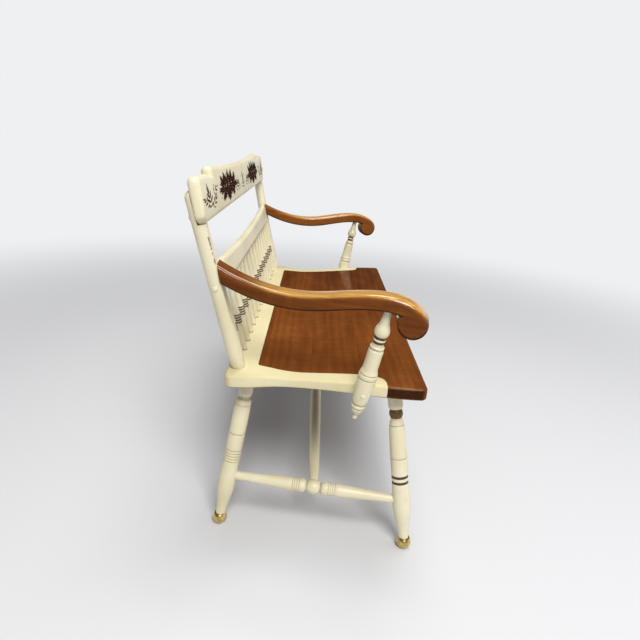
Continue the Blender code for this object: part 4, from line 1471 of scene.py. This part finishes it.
leafStencil = dict(  # a plain design of leaf sprays and berries on the crest's front
    leafWidth=0.31,
    leafSteps=7,
    leafPeak=0.8,
    spread=1.15,
    stray=0.12,
    stretch=1.9,  # drawn wide, as the crest is seen mostly from its ends
    ovalStretch=2.6,
    ovalAt=(0.24, 0.0455),
    oval=[  # across and height from its middle, tilt, leaves, stem, leaf length
        (0.0, -0.006, 4.0, 13, 0.034, 0.022),
        (0.03, -0.006, -9.0, 13, 0.033, 0.022),
        (-0.03, -0.006, 12.0, 13, 0.033, 0.022),
        (0.06, -0.005, -18.0, 11, 0.026, 0.021),
        (-0.06, -0.005, 22.0, 11, 0.026, 0.021),
        (0.015, 0.004, 174.0, 13, 0.022, 0.021),
        (-0.016, 0.004, 188.0, 13, 0.022, 0.021),
        (0.046, 0.004, 200.0, 11, 0.02, 0.02),
        (-0.048, 0.004, 162.0, 11, 0.02, 0.02),
        (0.062, 0.0, -86.0, 9, 0.014, 0.018),
        (-0.062, 0.0, 86.0, 9, 0.014, 0.018),
    ],
    sprays=[  # across, height, tilt, leaves, stem, leaf length
        (0.47, 0.026, -14.0, 9, 0.036, 0.02),
        (0.448, 0.022, 44.0, 7, 0.026, 0.017),
        (0.488, 0.034, -62.0, 7, 0.024, 0.016),
        (0.43, 0.052, 66.0, 5, 0.018, 0.014),
        (0.128, 0.03, 52.0, 7, 0.026, 0.016),
        (0.066, 0.028, -46.0, 7, 0.026, 0.016),
        (0.0, 0.024, 0.0, 9, 0.032, 0.017),
    ],
    berries=[
        (0.424, 0.066), (0.492, 0.068), (0.5, 0.054), (0.352, 0.06), (0.35, 0.03), (0.364, 0.044),
        (0.168, 0.058), (0.16, 0.034), (0.15, 0.048), (0.098, 0.06), (0.092, 0.044), (0.03, 0.058),
        (0.026, 0.036),
    ],
    berryRadius=0.0026,
    berrySides=14,
    ovalFade=0.2,
    sprayFade=0.5,
    lift=0.00012,
)


def leafTree():
    sizes = {"Count": "Int", "Stem": "Float", "Leaf": "Float", "Spread": "Float", "Seed": "Int"}
    board, given = newTree("leafSpray", sizes)
    line = board.node("GeometryNodeMeshLine", None, {"Count": given["Count"], "Offset": (0.0, 0.0, 0.0)})
    number = board.node("GeometryNodeInputIndex")
    side = (number % 2.0) * 2.0 - 1.0
    share = (number / 2.0).floor() * 2.0 / (given["Count"] - 1.0)
    most = leafStencil["stray"]
    values = {2: -most, 3: most, "ID": number, "Seed": given["Seed"]}
    stray = board.node("FunctionNodeRandomValue", {"data_type": "FLOAT"}, values, 1)
    values = {"Geometry": line, "Position": board.vector(0.0, share * given["Stem"])}
    points = board.node("GeometryNodeSetPosition", None, values)
    turned = board.vector(0.0, 0.0, side * given["Spread"] * (1.0 - share) + stray)
    size = given["Leaf"] * (0.75 + 0.5 * share * (1.0 - share) + stray)
    values = {"Points": points, "Instance": given["Geometry"], "Rotation": turned, "Scale": size}
    return closeTree(board, given, board.node("GeometryNodeInstanceOnPoints", None, values))


def leafMesh():
    steps, half = leafStencil["leafSteps"], leafStencil["leafWidth"] / 2
    shares = [i / steps for i in range(1, steps)]
    right = [(half * math.sin(math.pi * share ** leafStencil["leafPeak"]), share) for share in shares]
    outline = [(0.0, 0.0)] + right + [(0.0, 1.0)] + [(-x, y) for x, y in reversed(right)]
    mesh = bpy.data.meshes.new("leaf")
    mesh.from_pydata([(x, y, 0.0) for x, y in outline], [], [list(range(len(outline)))])
    return mesh


def drawSprays(drawn):
    p = leafStencil
    tree = leafTree()
    fade = drawn.verts.layers.float.new("fade")
    middle, height = p["ovalAt"]
    oval = [(u + middle, v + height, *rest) for u, v, *rest in p["oval"]]
    for number, (u, v, tilt, count, stem, leaf) in enumerate(oval + p["sprays"]):
        inOval = number < len(oval)
        for mirror in ((1, -1) if u > 0.0 else (1,)):
            sizes = {"Count": count, "Stem": stem, "Leaf": leaf, "Spread": p["spread"], "Seed": number}
            spray = growMesh("spray", leafMesh(), tree, "stencil", sizes)
            turned = Matrix.Rotation(math.radians(tilt), 4, "Z")
            wide = Matrix.Diagonal((p["ovalStretch" if inOval else "stretch"], 1.0, 1.0, 1.0))
            spray.transform(Matrix.Translation((u, v, 0.0)) @ wide @ turned)
            known = len(drawn.verts)
            drawn.from_mesh(spray)
            drawn.verts.ensure_lookup_table()
            for corner in drawn.verts[known:]:
                corner[fade] = p["ovalFade" if inOval else "sprayFade"]
                corner.co.x *= mirror


def makeStencil():
    p = leafStencil
    drawn = bmesh.new()
    drawSprays(drawn)
    for u, v in p["berries"]:
        for mirror in (1, -1):
            put = Matrix.Translation((mirror * u, v, 0.0))
            circle = dict(segments=p["berrySides"], radius=p["berryRadius"], matrix=put)
            bmesh.ops.create_circle(drawn, cap_ends=True, **circle)
    bmesh.ops.triangulate(drawn, faces=drawn.faces)
    put = fromBack(crestRail["rise"], crestRail["seat"])
    for corner in drawn.verts:
        corner.co = put(Vector((corner.co.x, corner.co.y, crestThickness(corner.co.y) + p["lift"])))
    for face in drawn.faces:
        face.normal_update()
        if face.normal.dot(outFront) < 0.0:
            face.normal_flip()
    mesh = bpy.data.meshes.new("crest_stencil")
    drawn.to_mesh(mesh)
    drawn.free()
    finishPiece("crest_stencil", mesh, [], "stained_maple", finishes["stencil"])


makeStencil()

for name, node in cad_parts.items():  # pieces that stay as they are, inside the joints
    for start, finish in (("screw_", "steel"), ("arm_dowel_", "birch")):
        if name.startswith(start):
            node.data.materials.clear()
            node.data.materials.append(finishes[finish])
print("buttons, stencil and hidden pieces done")

studio = dict(
    floorColor=(0.7, 0.7, 0.71),
    floorRoughness=0.9,
    floorSpecular=0.1,
    backdrop=(0.86, 0.87, 0.88),
    floorReach=9.0,
    floorSteps=96,
    fadeFrom=1.3,
    fadeTo=3.6,
    worldStrength=0.28,
    ceiling=0.05,  # what gloss shows of the room above the pale backdrop
    ceilingFrom=0.1,
    ceilingTo=0.25,
    lamps=[  # place, aim, size across, watts
        ((-3.3, -0.8, 4.2), (-0.3, 0.0, 0.45), 2.3, 210.0),
        ((0.3, -0.2, 3.9), (0.0, 0.0, 0.4), 1.3, 56.0),
        ((-0.6, -3.0, 1.9), (0.0, 0.0, 0.45), 3.2, 14.0),
    ],
)
photoCamera = dict(
    place=(-1.57932298, 0.27751622, 0.96290549),  # y is measured from the seat's front edge
    yaw=-1.28812738,
    pitch=-19.87731075,
    roll=4.1455277,
    focal=509.99,
    imageSize=640.0,
    sensor=36.0,
)


def makeFloor():
    p = studio
    mesh = bpy.data.meshes.new("studio_floor")
    turns = [2 * math.pi * i / p["floorSteps"] for i in range(p["floorSteps"])]
    rim = [(p["floorReach"] * math.cos(a), p["floorReach"] * math.sin(a), 0.0) for a in turns]
    mesh.from_pydata(rim, [], [list(range(len(rim)))])
    finish, shader, board, coords = newFinish("studioFloor")
    values = {"Base Color": color4(p["floorColor"]), "Roughness": p["floorRoughness"]}
    board.dial(shader, {**values, "Specular IOR Level": p["floorSpecular"]})
    distance = board.node("ShaderNodeVectorMath", {"operation": "LENGTH"}, {0: coords}, 1)
    camera, glossy = board.seenBy()
    far = board.between(distance, p["fadeFrom"], p["fadeTo"]) * (camera + glossy)
    glow = board.node("ShaderNodeEmission", None, {"Color": color4(p["backdrop"]), "Strength": 1.0})
    both = board.node("ShaderNodeMixShader", None, {0: far, 1: Wire(board, shader.outputs[0]), 2: glow})
    board.dial(finish.node_tree.nodes["Material Output"], {"Surface": both})
    mesh.materials.append(finish)
    floor = stand("studio_floor", mesh)


def makeWorld():
    world = bpy.data.worlds.new("studioWorld")
    world.use_nodes = True
    board = Board(world.node_tree)
    camera, glossy = board.seenBy()
    height = board.axis(board.node("ShaderNodeTexCoord"), 2)
    shown = board.between(height, studio["ceilingFrom"], studio["ceilingTo"], 1.0, studio["ceiling"])
    plain = studio["worldStrength"]
    strength = plain + camera * (1.0 - plain) + glossy * (shown - plain)
    values = {"Color": color4(studio["backdrop"]), "Strength": strength}
    board.dial(world.node_tree.nodes["Background"], values)
    bpy.context.scene.world = world


def makeLamps():
    for number, (place, aim, size, watts) in enumerate(studio["lamps"]):
        lamp = bpy.data.lights.new(f"softbox_{number}", "AREA")
        lamp.shape = "SQUARE"
        lamp.size = size
        lamp.energy = watts
        holder = stand(f"softbox_{number}", lamp)
        holder.location = place
        holder.rotation_mode = "QUATERNION"
        holder.rotation_quaternion = (Vector(aim) - Vector(place)).to_track_quat("-Z", "Y")


def makeCamera():
    p = photoCamera
    yaw, pitch, roll = (math.radians(p[key]) for key in ("yaw", "pitch", "roll"))
    ahead = Vector((math.cos(pitch) * math.cos(yaw), math.cos(pitch) * math.sin(yaw), math.sin(pitch)))
    right = ahead.cross(up).normalized()
    above = right.cross(ahead)
    side = right * math.cos(roll) + above * math.sin(roll)
    top = above * math.cos(roll) - right * math.sin(roll)
    lens = bpy.data.cameras.new("photoCamera")
    lens.sensor_width = p["sensor"]
    lens.lens = p["focal"] / p["imageSize"] * p["sensor"]
    holder = stand("photoCamera", lens)
    place = Matrix((side, top, -ahead)).transposed().to_4x4()
    place.translation = spot(*p["place"])
    holder.matrix_world = place
    bpy.context.scene.camera = holder


makeFloor()
makeWorld()
makeLamps()
makeCamera()
bpy.context.scene.view_settings.view_transform = "Standard"
print("stage set")
